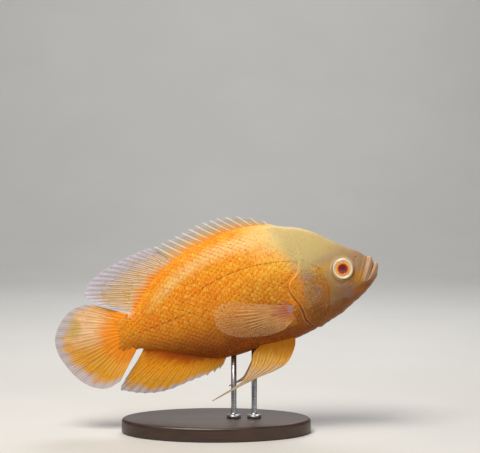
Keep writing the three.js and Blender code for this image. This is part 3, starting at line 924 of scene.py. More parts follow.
@dataclass(frozen=True)
class FinFinish:
    """A ribbed fin: bands of colour from root to margin, with rays, streaks and patches on them."""

    name: str
    root: str
    middle: str
    outer: str
    margin: str
    ray: str = "F1E6D2"
    ray_share: float = 0.5
    streak: str = "E2B03C"
    streak_share: float = 0.5
    dark: str = "6E6470"
    dark_share: float = 0.4
    bands: tuple[float, float, float] = (0.3, 0.62, 0.9)
    clear: tuple[float, float] = (0.75, 1.0)
    fade: float = 0.0
    patches: tuple[Zone, ...] = ()

    def build(self) -> Any:
        """Make the material from the fin's own maps: across, outwards, and how much ray there is.

        Returns:
            The material.
        """
        g = Graph(self.name, {**WET, "Coat Weight": 0.08})
        reach, height, side = g.body_place()
        (u, v), (rib, turn) = g.pair("fin"), g.pair("rib")
        place = g.combine(reach, height, side)
        cloud = g.noise(place, 0.09, 3.0) - 0.5
        fine = g.noise(place, 1.4, 3.0)
        streaks = g.noise(g.combine(turn * 1.3, v * 3.0, 0.0), 1.0, 3.0, 0.6)
        broken = g.noise(g.combine(turn * 2.1, v * 16.0, 0.0), 1.0, 2.0, 0.6)
        edge = v + cloud * 0.24 + (streaks - 0.5) * 0.22
        low, mid, high = self.bands
        c = g.mix(self.root, self.middle, edge.rise(low * 0.3, low * 1.5))
        c = g.mix(c, self.outer, edge.rise(mid * 0.72, mid * 1.2))
        for code, centre, size, share in self.patches:
            c = g.mix(c, code, g.blob(reach + cloud * 8.0, height + cloud * 8.0, centre, size) * share)
        away = edge.rise(0.1, 0.32)
        streak = (1 - rib) * streaks.rise(0.42, 0.6) * away * edge.rise(0.98, 0.8)
        c = g.mix(c, self.streak, streak * self.streak_share)
        c = g.mix(c, self.margin, edge.rise(high * 0.86, high * 1.04))
        c = g.mix(c, self.ray, rib.rise(0.45, 0.9) * away * self.ray_share)
        dark = rib.bell(0.2, 0.2) * broken.rise(0.4, 0.56) * away * edge.rise(1.0, 0.86)
        c = g.mix(c, self.dark, dark * self.dark_share)
        joints = (v * 190.0).sine() * 0.5 + 0.5
        low_clear, high_clear = self.clear
        film = low_clear + (1 - low_clear) * (1 - edge.rise(0.2, 0.6))
        sheer = (film + (high_clear - film) * rib.rise(0.1, 0.6)) * (1 - edge.rise(0.45, 1.0) * self.fade)
        return g.finish(Base_Color=c, Roughness=fine * 0.25 + 0.3, Alpha=sheer,
                        Normal=g.bump(joints * rib * 0.5 + fine, 0.00010, 0.5))


@dataclass(frozen=True)
class EyeFinish:
    """The eyeball's rings of colour, by distance from the middle of the pupil."""

    name: str
    pupil: float
    iris: float
    dark: str = "5A0402"
    deep_red: str = "8A1206"
    red: str = "DD4A10"
    orange: str = "F89A1C"
    amber: str = "FBCB48"
    line: str = "9C5A24"
    cream: str = "EBDDC0"
    vein: str = "DDC08A"
    rim: str = "B98A52"

    def build(self) -> Any:
        """Make the material from the eye's own map, whose first value is the distance out.

        Returns:
            The material.
        """
        g = Graph(self.name, {"Roughness": 0.22, "Coat Weight": 0.5, "Coat Roughness": 0.08})
        out, turn = g.pair("eye")
        fibre = g.noise(g.combine((turn * TURN).sine() * 14.0, turn * 40.0, out * 0.9), 1.0, 3.0)
        reach = out + (fibre - 0.5) * 0.4
        c = g.mix(self.dark, self.deep_red, reach.rise(0.0, self.pupil))
        c = g.mix(c, self.red, reach.rise(self.pupil - 0.2, self.pupil + 0.2))
        c = g.mix(c, self.orange, reach.rise(self.pupil + 0.2, self.pupil + 1.0) * (0.6 + fibre * 0.5))
        c = g.mix(c, self.amber, reach.rise(self.iris - 1.0, self.iris - 0.2) * 0.8)
        c = g.mix(c, self.line, out.bell(self.iris + 0.15, 0.35) * 0.6)
        c = g.mix(c, self.cream, reach.rise(self.iris + 0.15, self.iris + 0.6))
        c = g.mix(c, self.vein, fibre.rise(0.45, 0.72) * out.rise(self.iris + 0.8, EYE_RING) * 0.7)
        c = g.mix(c, self.rim, out.rise(EYE_RING - 0.7, EYE_RING + 0.3) * 0.7)
        return g.finish(Base_Color=c, Roughness=fibre * 0.2 + 0.15, Normal=g.bump(fibre, 0.0001, 0.4))


@dataclass(frozen=True)
class PlainFinish:
    """A made surface: two shades in a drawn-out grain."""

    name: str
    light: str
    dark: str
    stretch: tuple[float, float, float]
    constants: tuple[tuple[str, float], ...]
    depth: float
    rough: tuple[float, float] = (0.3, 0.2)
    alpha: float = 1.0

    def build(self) -> Any:
        """Make the material from noise that is stretched along the grain.

        Returns:
            The material.
        """
        g = Graph(self.name, {**dict(self.constants), "Alpha": self.alpha})
        coordinates = g.node("ShaderNodeTexCoord", {}, {}, "Object")
        drawn = g.node("ShaderNodeMapping", {}, {"Vector": coordinates, "Scale": self.stretch})
        grain = g.noise(drawn, 1.0, 6.0, 0.6)
        rings = g.noise(drawn, 0.22, 3.0, 0.5)
        c = g.mix(self.dark, self.light, (grain * 0.6 + rings * 0.7 - 0.15).rise(0.28, 0.72))
        return g.finish(Base_Color=c, Roughness=grain * self.rough[1] + self.rough[0],
                        Normal=g.bump(grain, self.depth, 0.5))


def grid_faces(rows: int, columns: int, wrap: bool) -> Array:
    """List the faces of a grid of points that are numbered row by row.

    Args:
        rows: rows of points.
        columns: points in each row.
        wrap: whether each row closes on itself.

    Returns:
        The four corners of each face.
    """
    r = np.arange(rows - 1)[:, None] * columns
    c = np.arange(columns if wrap else columns - 1)[None, :]
    after = (c + 1) % columns
    return np.stack([r + c, r + after, r + columns + after, r + columns + c], axis=-1).reshape(-1, 4)


def sheet_faces(rows: int, columns: int) -> Array:
    """List the faces of a closed sheet of two grids, one under the other, with walls round the rim.

    Args:
        rows: rows of points in each grid.
        columns: points in each row.

    Returns:
        The four corners of each face.
    """
    count = rows * columns
    top = grid_faces(rows, columns, False)
    index = np.arange(count).reshape(rows, columns)
    rim = np.concatenate([index[0], index[1:, -1], index[-1, -2::-1], index[-2:0:-1, 0]])
    after = np.roll(rim, -1)
    return np.concatenate([top, top[:, ::-1] + count, np.stack([after, rim, rim + count, after + count], 1)])


def closed_rings(rings: Array, ends: Array, flip: bool = False) -> tuple[Array, list[list[int]]]:
    """Join rings of points into a closed surface, with a fan of triangles to a point at each end.

    Args:
        rings: points, with the ring, the place round it and the coordinate as axes.
        ends: the point before the first ring and the point after the last.
        flip: whether the rings run the other way round, so that faces are turned over.

    Returns:
        The points, one row each, and the corners of the faces.
    """
    rows, columns = rings.shape[:2]
    ring = np.arange(columns)
    after = (ring + 1) % columns
    last = (rows - 1) * columns
    first_fan = np.stack([after, ring, np.full(columns, rows * columns)], 1)
    last_fan = np.stack([last + ring, last + after, np.full(columns, rows * columns + 1)], 1)
    way = -1 if flip else 1
    faces = grid_faces(rows, columns, True)[:, ::way].tolist()
    faces += np.concatenate([first_fan, last_fan])[:, ::way].tolist()
    return np.concatenate([rings.reshape(-1, 3), ends]), faces


def bake_place(at: Array, angle: Array) -> Array:
    """The place on the skin's unwrap: across by the order of the loops, up by the turn round them."""
    return np.stack([(at - BAKE_START) / BAKE_SPAN, angle / TURN], axis=-1)


def smooth_mesh(name: str, points: Array, faces: list[Sequence[int]], material: Any) -> Any:
    """Make a smooth-shaded mesh.

    Args:
        name: the mesh's name.
        points: points in metres, one row each.
        faces: the vertices of each face, in order.
        material: the mesh's material.

    Returns:
        The mesh.
    """
    mesh = bpy.data.meshes.new(name)
    mesh.from_pydata(points.reshape(-1, 3).tolist(), [], faces)
    mesh.polygons.foreach_set("use_smooth", np.ones(len(mesh.polygons), bool))
    mesh.materials.append(material)
    return mesh


def put_in_scene(data: Any) -> Any:
    """Put a mesh, a light or a camera in the scene, under its own name.

    Args:
        data: the mesh, light or camera.

    Returns:
        The object.
    """
    thing = bpy.data.objects.new(data.name, data)
    bpy.context.scene.collection.objects.link(thing)
    return thing


def make_piece(name: str, points: Array, faces: list[Sequence[int]], maps: dict[str, Array],
               material: Any, replaces: Sequence[str]) -> Any:
    """Put a surface in the scene as a piece that rides on the model's one body.

    Args:
        name: the piece's name.
        points: world points in metres, one row each.
        faces: the vertices of each face, in order.
        maps: a UV for each vertex, by map name.
        material: the piece's material.
        replaces: the frame's nodes that the piece stands for.

    Returns:
        The object.
    """
    mesh = smooth_mesh(name, points, faces, material)
    corner = np.empty(len(mesh.loops), np.int32)
    mesh.loops.foreach_get("vertex_index", corner)
    for key, uv in maps.items():
        layer = mesh.uv_layers.new(name=key)
        layer.data.foreach_set("uv", uv.reshape(-1, 2)[corner].astype(np.float32).ravel())
    mesh.validate()
    mesh.update()
    piece = put_in_scene(mesh)
    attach(piece, "root")
    if replaces:
        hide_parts(*replaces)
    LOG.info("%s: %d faces", name, len(mesh.polygons))
    return piece


@dataclass
class Skin:
    """The one skin over head, jaws, gill covers, trunk and tail stalk, mouth lining included."""

    form: BodyForm
    columns: int = 280
    spans: tuple[tuple[float, float, float], ...] = (
        (-10.0, 0.0, 0.7), (0.0, 12.0, 0.24), (12.0, 46.0, 0.46), (46.0, 86.0, 0.55), (86.0, LAST_LOOP, 1.5))
    throat: tuple[float, float, float] = (17.5, -2.6, 0.0)
    tail_end: tuple[float, float, float] = (234.6, -3.0, 0.0)

    def build(self) -> Any:
        """Lay the loops of the form, close the throat and the tail, and dress the skin.

        Returns:
            The skin's object.
        """
        at = np.concatenate([np.arange(*span) for span in self.spans] + [[LAST_LOOP]])
        angle = np.arange(self.columns) * (TURN / self.columns)
        grid_at, grid_angle = np.meshgrid(at, angle, indexing="ij")
        ends = np.array([self.throat, self.tail_end])
        places, faces = closed_rings(self.form.surface(grid_at, grid_angle), ends, True)
        order = np.concatenate([grid_at.ravel(), [BAKE_START, LAST_LOOP + 1.0]])
        turned = np.concatenate([grid_angle.ravel(), [math.pi, math.pi]])
        maps = {"OFBake": bake_place(order, turned), "order": np.stack([order, self.form.crease(places)], 1)}
        points = to_world(*places.T)
        finish = SkinFinish("skin_wet").build()
        return make_piece("skin", points, faces, maps, finish, FLESH_NODES)


@dataclass(frozen=True)
class ScaleField:
    """A patch of scales of one size: where their columns start and end, and which roots it keeps."""

    first: float
    last: float
    length: float
    width: float
    keeps: Callable[[Array, Array], Array]
    lift: float = 0.46
    thickness: float = 0.13


class ScaleCoat:
    """Overlapping scales on one side of the body, each a thin curved plate with a round rear edge."""

    along = 6
    across = 5
    column_step = 0.48
    row_step = 0.86
    root_share = 0.2
    sunk = 0.10
    reaches = (50, 70, 190, 212, 232)
    sizes = (0.9, 1.0, 1.0, 0.8, 0.6)

    def __init__(self, form: BodyForm, side: Side) -> None:
        """Keep the body's form and the side, and start the side's own random draws.

        Args:
            form: the body's form.
            side: the side that the coat lies on.
        """
        self.form = form
        self.side = side
        self.random = np.random.default_rng(7 if side is Side.LEFT else 11)

    def on_flank(self, reach: Array, height: Array) -> Array:
        """Find the roots behind the gill cover, below the nape and before the tail's ragged end.

        Args:
            reach: each root's distance back from the snout.
            height: each root's height above the axis.

        Returns:
            Whether each root is kept.
        """
        rear = self.form.gill_lines(reach, height)[0]
        ragged = 231.0 - 0.012 * (height + 2.5) ** 2 - 5.0 * self.random.random(reach.shape) ** 2
        return np.where(height > 24.0, reach > 56.0, rear < -0.6) & (reach < ragged)

    def on_nape(self, reach: Array, height: Array) -> Array:
        """Whether a root lies above the gill cover, between the eye and the flank's first column."""
        return (height > 19.0) & (reach > 41.0 + 3.0 * self.random.random(reach.shape)) & (reach < 56.5)

    def on_cheek(self, reach: Array, height: Array) -> Array:
        """Whether a root lies between the eye's ring and the groove before the gill cover."""
        clear = (self.form.from_eye(reach, height) > EYE_CREASE) & (np.abs(height + 3.0) < 17.0)
        return clear & (self.form.gill_lines(reach, height)[2] < -3.2)

    def on_cover(self, reach: Array, height: Array) -> Array:
        """Whether a root lies on the gill cover, clear of its groove and its free edge."""
        rear, _, front, _ = self.form.gill_lines(reach, height)
        return (front > 1.6) & (rear > 4.6) & (height > -29.0) & (height < 16.0)

    def roots(self, patch: ScaleField) -> tuple[Array, Array]:
        """Set the scales out in rows along the body, stepped by half a width each column.

        Rows keep their distance round the body from the side's midline, so they run straight back
        and end at the back and belly as the body tapers.

        Args:
            patch: the patch of scales.

        Returns:
            Each scale's place in the loops' order and its angle round the loop.
        """
        at = np.arange(patch.first, patch.last, patch.length * self.column_step)
        fine = np.linspace(0.0, math.pi, 400)
        line = self.form.loop_point(at[:, None], fine[None, :])
        steps = np.linalg.norm(np.diff(line, axis=1), axis=-1)
        arc = np.concatenate([np.zeros((len(at), 1)), np.cumsum(steps, axis=1)], axis=1)
        spacing = patch.width * self.row_step
        found_at, found_angle = [], []
        for i, row in enumerate(arc - arc[:, 200:201]):
            k = (np.arange(-80, 81) + 0.5 * (i % 2)) * spacing
            inside = k[(k > row[0] + 0.5) & (k < row[-1] - 0.3)]
            found_angle.append(np.interp(inside, row, fine))
            found_at.append(np.full(len(inside), at[i]))
        places, angles = np.concatenate(found_at), np.concatenate(found_angle)
        root = self.form.loop_point(places, angles)
        keep = patch.keeps(root[:, 0], root[:, 1])
        places, angles = places[keep], angles[keep]
        return places, angles if self.side is Side.LEFT else TURN - angles

    def plates(self, patch: ScaleField) -> tuple[Array, Array, Array, Array]:
        """Shape every scale of a patch at once.

        A scale's plate is a grid: it rises off the skin towards its rear edge, dips at its sides
        and narrows at the root and round the rear. A second grid below gives it its thickness.

        Args:
            patch: the patch of scales.

        Returns:
            Points, the place within the scale, the bake map and the tone, a row for each scale.
        """
        at, angle = self.roots(patch)
        root_height = self.form.loop_point(at, angle)[:, 1]
        x = np.linspace(0.0, 1.0, self.along)[None, :, None]
        y = np.linspace(-1.0, 1.0, self.across)[None, None, :]
        size = 1.0 + 0.06 * self.random.standard_normal(len(at))
        size *= np.interp(at, self.reaches, self.sizes)
        _, step_along, step_round, _ = self.form.frame(at, angle)
        per_along = (patch.length * size / np.linalg.norm(step_along, axis=-1))[:, None, None]
        half = 0.5 * patch.width * size
        per_round = (half / np.maximum(np.linalg.norm(step_round, axis=-1), 4.0))[:, None, None]
        narrowing = 0.72 + 0.28 * np.clip(x / 0.4, 0, 1)
        rounding = np.sqrt(1 - np.clip((x - 0.52) / 0.485, 0, 1) ** 2) * narrowing
        grid_at = at[:, None, None] + per_along * (x * (1.0 - 0.10 * y * y) - self.root_share)
        grid_at = np.clip(grid_at, 24.0, LAST_LOOP - 0.5)
        grid_angle = angle[:, None, None] + per_round * y * rounding
        tilt = (0.02 * self.random.standard_normal(len(at)))[:, None, None]
        nape = smoothstep(14.0, 30.0, root_height) * smoothstep(122.0, 92.0, at)
        lift = (patch.lift * (1.0 - 0.72 * nape - 0.5 * smoothstep(204.0, 222.0, at)))[:, None, None]
        top = lift * x**0.9 * (1 - 0.22 * y * y) + tilt * y - self.sunk
        low = top - patch.thickness * (0.4 + 0.6 * np.sin(x * math.pi * 0.75 + 0.2))
        places = np.stack([self.form.surface(grid_at, grid_angle, t) for t in (top, low)], axis=1)
        shape = (len(at), 2, self.along, self.across)
        shares = (x[:, None], (y[:, None] + 1) / 2)
        within = np.stack([np.broadcast_to(share, shape) for share in shares], -1)
        root = bake_place(at, angle)[:, None, None, None, :]
        tone = np.broadcast_to(self.random.random(len(at))[:, None, None, None, None], within.shape)
        return places.reshape(-1, 3), within, root + (within - 0.5) * BAKE_PATCH, tone

    def lay(self, name: str, *patches: ScaleField) -> Any:
        """Join patches of scales into one piece.

        Args:
            name: the piece's name, before its side.
            patches: the patches of scales.

        Returns:
            The coat's object.
        """
        made = [np.concatenate([part.reshape(-1, part.shape[-1]) for part in column])
                for column in zip(*(self.plates(patch) for patch in patches))]
        places, within, bake, tone = made
        faces = self.plate_faces(len(places) // (2 * self.along * self.across))
        points = to_world(*places.T)
        finish = SkinFinish(f"{name}_wet_{self.side.word}", coat=True).build()
        maps = {"OFBake": bake, "scale": within, "tone": tone}
        return make_piece(f"{name}_{self.side.word}", points, faces, maps, finish, [])

    def build(self) -> None:
        """Lay the flank's scales, and the smaller ones of nape, cheek and gill cover."""
        self.lay("scales", ScaleField(50.0, 231.0, 6.0, 4.9, self.on_flank))
        self.lay("scales_face", ScaleField(38.0, 57.0, 4.0, 3.3, self.on_nape, 0.3, 0.1),
                 ScaleField(28.0, 48.0, 2.9, 2.5, self.on_cheek, 0.2, 0.08),
                 ScaleField(46.0, 76.0, 3.7, 3.0, self.on_cover, 0.26, 0.09))

    def plate_faces(self, count: int) -> list[list[int]]:
        """List the faces of every plate: its top, its underside and the rim between them.

        Args:
            count: how many plates there are.

        Returns:
            The four corners of each face.
        """
        one = sheet_faces(self.along, self.across)
        if self.side is Side.LEFT:
            one = one[:, ::-1]
        first = np.arange(count)[:, None, None] * (2 * self.along * self.across)
        return (one[None] + first).reshape(-1, 4).tolist()


@dataclass
class Fin:
    """A fin as one closed sheet on a grid, thick along its rays and thin between them.

    root(u) and edge(u) are lines in the body frame; u runs from the first ray to the last, and v
    from the root to the margin.
    """

    name: str
    nodes: tuple[str, ...]
    root: Callable[[Array], tuple[Array, Array]]
    edge: Callable[[Array], tuple[Array, Array]]
    finish: FinFinish
    rays: int
    columns_per_ray: int = 16
    rows: int = 48
    ray_half: float = 0.32
    membrane_half: float = 0.12
    root_half: float = 1.0
    root_reach: float = 0.16
    front_notch: float = 0.0
    fork: bool = True
    notch: float = 0.0
    fringe: float = 0.6
    wave: float = 1.0
    curl: float = 0.0
    side_of: Callable[[Array, Array, Array], Array] | None = None

    def crest(self, u: Array, count: int, width: float) -> Array:
        """Rays spread evenly over u: 1 on each one's crest and 0 between them."""
        return np.clip(1 - (np.abs((u * count) % 1.0 - 0.5) / width) ** 2, 0, 1) ** 0.6

    def ribs(self, u: Array, v: Array) -> Array:
        """Work out how much of a ray there is.

        A forked ray's crest gives way to two part of the way out, and those to four. A spine's stays
        whole, with a lower crest between it and the next.

        Args:
            u: share of the way from the first ray to the last.
            v: share of the way from root to margin.

        Returns:
            1 on a ray's crest and 0 on the membrane.
        """
        if not self.fork:
            spine = self.crest(u, self.rays, 0.14)
            return np.maximum(spine, 0.45 * self.crest(u + 0.5 / self.rays, self.rays, 0.1))
        near = v + 0.07 * np.sin(np.floor(u * self.rays) * 2.4)
        once, twice = smoothstep(0.22, 0.42, near), smoothstep(0.55, 0.78, near)
        out = self.crest(u, self.rays, 0.17) * (1 - once)
        out = out + self.crest(u, self.rays * 2, 0.24) * once * (1 - twice)
        return out + self.crest(u, self.rays * 4, 0.3) * once * twice * 0.8

    def middle(self, u: Array, v: Array) -> Array:
        """The fin's middle surface.

        A point goes straight from the root line to the edge line, bowed by the curl; a notched fin
        stops short between its spines, and the margin is frayed between the rays.

        Args:
            u: share of the way from the first ray to the last.
            v: share of the way from root to margin.

        Returns:
            Reach, height and side on the last axis.
        """
        root_reach, root_height = self.root(u)
        edge_reach, edge_height = self.edge(u)
        length = np.hypot(edge_reach - root_reach, edge_height - root_height)
        between = np.abs(np.sin(math.pi * (u * self.rays - 0.5)))
        notch = self.notch + self.front_notch * smoothstep(0.22, 0.1, u)
        short = (self.fringe * (1 - self.ribs(u, np.ones_like(v))) + notch * between**0.6) / length
        share = v * (1 - np.minimum(short, 0.6) * smoothstep(0.3, 1.0, v))
        bow = self.curl * np.sin(math.pi * share) * np.sign(root_height - edge_height)
        reach = root_reach + (edge_reach - root_reach) * share + bow
        height = root_height + (edge_height - root_height) * share
        ripple = self.wave * share * np.sin(u * 9.0 + share * 2.4) * 0.8
        ripple = ripple + 0.18 * share * np.sin(u * self.rays * TURN)
        if self.side_of is None:
            return np.stack([reach, height, ripple], axis=-1)
        return np.stack([reach, height, self.side_of(reach, height, v) + ripple * 0.5], axis=-1)

    def build(self) -> Any:
        """Give the middle surface its thickness on both faces, close its rim and dress it.

        Returns:
            The fin's object.
        """
        columns = self.rays * self.columns_per_ray + 1
        u = np.linspace(0.0, 1.0, columns)[None, :]
        v = (np.linspace(0.0, 1.0, self.rows) ** 0.9)[:, None]
        u, v = np.broadcast_arrays(u, v)
        middle = self.middle(u, v)
        normal = unit(np.cross(np.gradient(middle, axis=1), np.gradient(middle, axis=0)))
        normal *= np.sign(normal[self.rows // 2, columns // 2, 1])
        taper = 1 - 0.72 * v**0.8
        fleshy = (self.root_half - self.ray_half) * np.clip(1 - v / self.root_reach, 0, 1) ** 1.5
        half = self.membrane_half * (1 - 0.45 * v) + self.ribs(u, v) * self.ray_half * taper + fleshy
        half = np.where((u < 1e-6) | (u > 1 - 1e-6), 0.08, half)[..., None]
        both = np.stack([middle + normal * half, middle - normal * half])
        faces = sheet_faces(self.rows, columns)
        places = both.reshape(-1, 3)
        points = to_world(*places.T)
        if self.faces_inwards(points, faces):
            faces = faces[:, ::-1]
        uv = np.stack([u, v], -1)
        rib = np.stack([self.ribs(u, v), u * self.rays], -1)
        maps = {"fin": np.stack([uv, uv]), "rib": np.stack([rib, rib])}
        finish = self.finish.build()
        return make_piece(self.name, points, faces.tolist(), maps, finish, self.nodes)

    @staticmethod
    def faces_inwards(points: Array, faces: Array) -> bool:
        """Whether the volume inside the faces comes out negative."""
        a, b, c, d = (points[faces[:, i]] for i in range(4))
        return float(np.sum(a * np.cross(b, c)) + np.sum(a * np.cross(c, d))) < 0


class FinSet:
    """The fish's eight fins, with their lines in the body frame."""

    root_depth = 1.5

    def __init__(self, form: BodyForm) -> None:
        """Keep the body's form, which the roots follow."""
        self.form = form

    def ridge_root(self, first: float, last: float, ridge: Loop) -> Callable[[Array], tuple[Array, Array]]:
        """Make a root line along the back or the belly, sunk into the body.

        Args:
            first: the first ray's reach.
            last: the last ray's reach.
            ridge: the loops' top or low height.

        Returns:
            The line, as a function of the share of the way along.
        """
        sunk = -self.root_depth if ridge is Loop.TOP_HEIGHT else self.root_depth

        def root(u: Array) -> tuple[Array, Array]:
            """The root's reach and height at u."""
            reach = first + (last - first) * u
            return reach, self.form.ring(reach, ridge) + sunk

        return root

    def spiny_dorsal(self) -> Fin:
        """The front of the back fin: stiff spines with free points, leaning back, and a notched web.

        Returns:
            The fin.
        """

        def edge(u: Array) -> tuple[Array, Array]:
            """The spines' points, further behind their roots towards the rear."""
            reach = 80.0 + 87.5 * u + 14.5 * smoothstep(-0.05, 0.32, u)
            return reach, smooth_through([80, 91, 102, 113, 130, 143, 160, 173, 182],
                                         [59.8, 65.6, 70.4, 72.8, 73.8, 71.8, 67.4, 64.8, 63.0], reach)

        finish = FinFinish("fin_back_spiny", "F4A648", "E6C694", "CAC2BE", "CFC9CC",
                           ray="F2E6D0", ray_share=0.6, streak="C9B490", streak_share=0.4,
                           dark="6E665E", dark_share=0.5, bands=(0.4, 0.62, 0.97), clear=(0.6, 1.0))
        root = self.ridge_root(77.0, 164.5, Loop.TOP_HEIGHT)
        return Fin("dorsal_fin_spines", ("dorsal_fin_spiny",), root, edge, finish, 14, columns_per_ray=20,
                   rows=44, ray_half=0.36, fork=False, notch=3.4, fringe=0.0, wave=0.5, root_half=1.2)

    def soft_dorsal(self) -> Fin:
        """The rear of the back fin: forked soft rays that sweep back to a point.

        Returns:
            The fin.
        """
        edge = Outline((182.2, 62.9), (190, 62.0), (201, 60.2), (216, 56.4), (232.6, 50.8),
                       (242, 43.8), (245.8, 37), (241, 30.6), (232.6, 24.2), (224, 19.2))
        finish = FinFinish("fin_back_soft", "EE942C", "E2BE96", "CBC4CC", "CBC6D6",
                           ray="F0E6E0", ray_share=0.6, streak="D9A93A", streak_share=0.6,
                           dark="5E5666", dark_share=0.75, bands=(0.2, 0.62, 0.9), clear=(0.7, 1.0),
                           patches=(("DCA838", (219.0, 30.0), (17.0, 9.0), 0.5),))
        root = self.ridge_root(164.3, 208.5, Loop.TOP_HEIGHT)
        return Fin("dorsal_fin_rays", ("dorsal_fin_soft",), root, edge.at, finish, 19, rows=60, wave=1.3,
                   curl=1.5, columns_per_ray=14)

    def anal(self) -> Fin:
        """The fin under the tail stalk: short spines in front, then forked rays.

        Returns:
            The fin.
        """
        edge = Outline((148.5, -51), (153, -52.8), (161, -54.2), (170, -54.2), (180, -55.6),
                       (197, -58), (210, -57.4), (222, -54.6), (230, -51.2), (236.4, -47.8), (233, -43),
                       (226, -36), (215, -26.4))
        finish = FinFinish("fin_anal", "B85202", "EC960A", "E4A024", "BDB4BC", ray="F0B040", ray_share=0.5,
                           streak="F0A81C", streak_share=0.5, dark="6E3A0A", dark_share=0.6,
                           bands=(0.28, 0.6, 0.93), clear=(0.85, 1.0),
                           patches=(("B8A08A", (232.0, -47.0), (9.0, 8.0), 0.6),))
        root = self.ridge_root(141.0, 207.0, Loop.LOW_HEIGHT)
        return Fin("anal_fin_rays", ("anal_fin",), root, edge.at, finish, 17, rows=52, wave=1.0, notch=0.9,
                   front_notch=2.6, columns_per_ray=14)

    def caudal(self) -> Fin:
        """The tail fin: a rounded fan that grows out of the fleshy end of the body.

        Returns:
            The fin.
        """
        edge = Outline((242, 28.4), (249.5, 29.8), (259, 28.2), (268, 22.8), (275, 15.2), (279.6, 6),
                       (279.8, -5), (275.6, -18), (268, -31.2), (257, -40.6), (246, -43.8), (234.5, -40.8))

        def root(u: Array) -> tuple[Array, Array]:
            """A root line that bows back inside the end of the body."""
            return 214.0 + 9.0 * np.sin(math.pi * u), 13.2 - 31.0 * u

        finish = FinFinish("fin_tail", "FA9214", "EBA43C", "E6A63E", "C2BDC6", ray="F6BE68", ray_share=0.4,
                           streak="C8881E", streak_share=0.35, dark="B0620E", dark_share=0.5,
                           bands=(0.42, 0.75, 0.9), clear=(0.88, 1.0),
                           patches=(("F7D0A8", (252.0, 12.0), (21.0, 18.0), 0.85),
                                    ("C4B052", (263.0, 14.0), (8.0, 10.0), 0.7),
                                    ("DE9C1E", (252.0, -27.0), (19.0, 15.0), 0.7),
                                    ("FA9214", (224.0, -4.0), (19.0, 19.0), 0.95)))
        return Fin("caudal_fin_rays", ("caudal_fin",), root, edge.at, finish, 15, rows=64, wave=1.6,
                   root_half=2.6, root_reach=0.42, ray_half=0.26, columns_per_ray=18)

    def pectoral(self, side: Side) -> Fin:
        """A breast fin, folded back over the flank and standing off it towards its tip.

        Args:
            side: the side that the fin is on.

        Returns:
            The fin.
        """
        edge = Outline((122, 3.4), (134, 4.4), (141.5, 1.6), (143.8, -7), (141.2, -17), (131, -24.6),
                       (117, -28.6), (103, -30.6), (90, -29.4))

        def root(u: Array) -> tuple[Array, Array]:
            """The root on the fleshy lobe behind the gill opening."""
            return 76.6 + 1.8 * u, -11.4 - 11.0 * u

        def side_of(reach: Array, height: Array, v: Array) -> Array:
            """Out from the flank, by more towards the tip."""
            return side.value * (self.form.half_width(reach, height) + 0.8 + 3.6 * v**0.8)

        finish = FinFinish("fin_breast_" + side.word, "DA8E50", "E8A860", "EAB674", "EBCB9C", ray="FBDDAE",
                           ray_share=0.7, streak="F0B45C", streak_share=0.3, dark="A8622C", dark_share=0.25,
                           bands=(0.3, 0.6, 0.97), clear=(0.1, 0.5), fade=0.6,
                           patches=(("C8705A", (88.0, -14.0), (9.0, 5.0), 0.75),
                                    ("B9A2A6", (80.0, -13.0), (3.5, 3.5), 0.6)))
        return Fin("pectoral_fin_rays_" + side.word, ("pectoral_fin_" + side.word,), root, edge.at,
                   finish, 9, rows=48, ray_half=0.2, wave=0.6, fringe=0.9, side_of=side_of,
                   root_half=0.9, columns_per_ray=18)

    def pelvic(self, side: Side) -> Fin:
        """A belly fin: rays that draw together into one long thread.

        Args:
            side: the side that the fin is on.

        Returns:
            The fin.
        """
        tip = (147.0, -69.0) if side is Side.LEFT else (162.4, -74.2)
        front = Outline((81.6, -38.5), (83.4, -45), (89.6, -54.2), (96, -59.2), (104, -61.6),
                        (119.6, -63.9), (131, -66.4), tip)
        rear = Outline((112.5, -38.5), (119.4, -43.6), (122.6, -51), (127.0, -57), (131, -61.6),
                       (134, -64.0), (tip[0] - 0.6, tip[1] + 0.9))

        def side_of(reach: Array, height: Array, v: Array) -> Array:
            """Out from the midline, by more further down."""
            return side.value * (6.6 + 0.13 * (-34.0 - height))

        finish = FinFinish("fin_belly_" + side.word, "CC7E10", "E8A838", "DAB894", "EAD6BE", ray="F3DCB4",
                           ray_share=0.6, streak="F0B040", streak_share=0.3, dark="96601E", dark_share=0.7,
                           bands=(0.2, 0.42, 0.8), clear=(0.85, 1.0))
        return PelvicFin("pelvic_fin_rays_" + side.word, ("pelvic_fin_" + side.word,), front.at, rear.at,
                         finish, 11, columns_per_ray=12, rows=90, ray_half=0.3, fork=False, wave=0.5,
                         fringe=0.0, side_of=side_of, root_half=1.1)

    def build(self) -> None:
        """Make all eight fins."""
        fins = [self.spiny_dorsal(), self.soft_dorsal(), self.anal(), self.caudal()]
        for side in Side:
            fins += [self.pectoral(side), self.pelvic(side)]
        for fin in fins:
            fin.build()


class PelvicFin(Fin):
    """A fin whose root and edge lines are its first and last rays, so that v runs along both."""

    def middle(self, u: Array, v: Array) -> Array:
        """Cross straight from the first ray to the last at the same share of the way out.

        Args:
            u: share of the way from the first ray to the last.
            v: share of the way from root to tip.

        Returns:
            Reach, height and side on the last axis.
        """
        front_reach, front_height = self.root(v)
        rear_reach, rear_height = self.edge(v)
        reach = front_reach + (rear_reach - front_reach) * u
        height = front_height + (rear_height - front_height) * u
        ripple = 0.5 * np.sin(v * 7.0 + u * 2.0) * smoothstep(0.1, 0.6, v)
        fold = 0.7 * np.sin(u * self.rays * math.pi) * smoothstep(0.05, 0.3, v) * smoothstep(0.8, 0.5, v)
        return np.stack([reach, height, self.side_of(reach, height, v) + ripple + 0.3 * fold], -1)


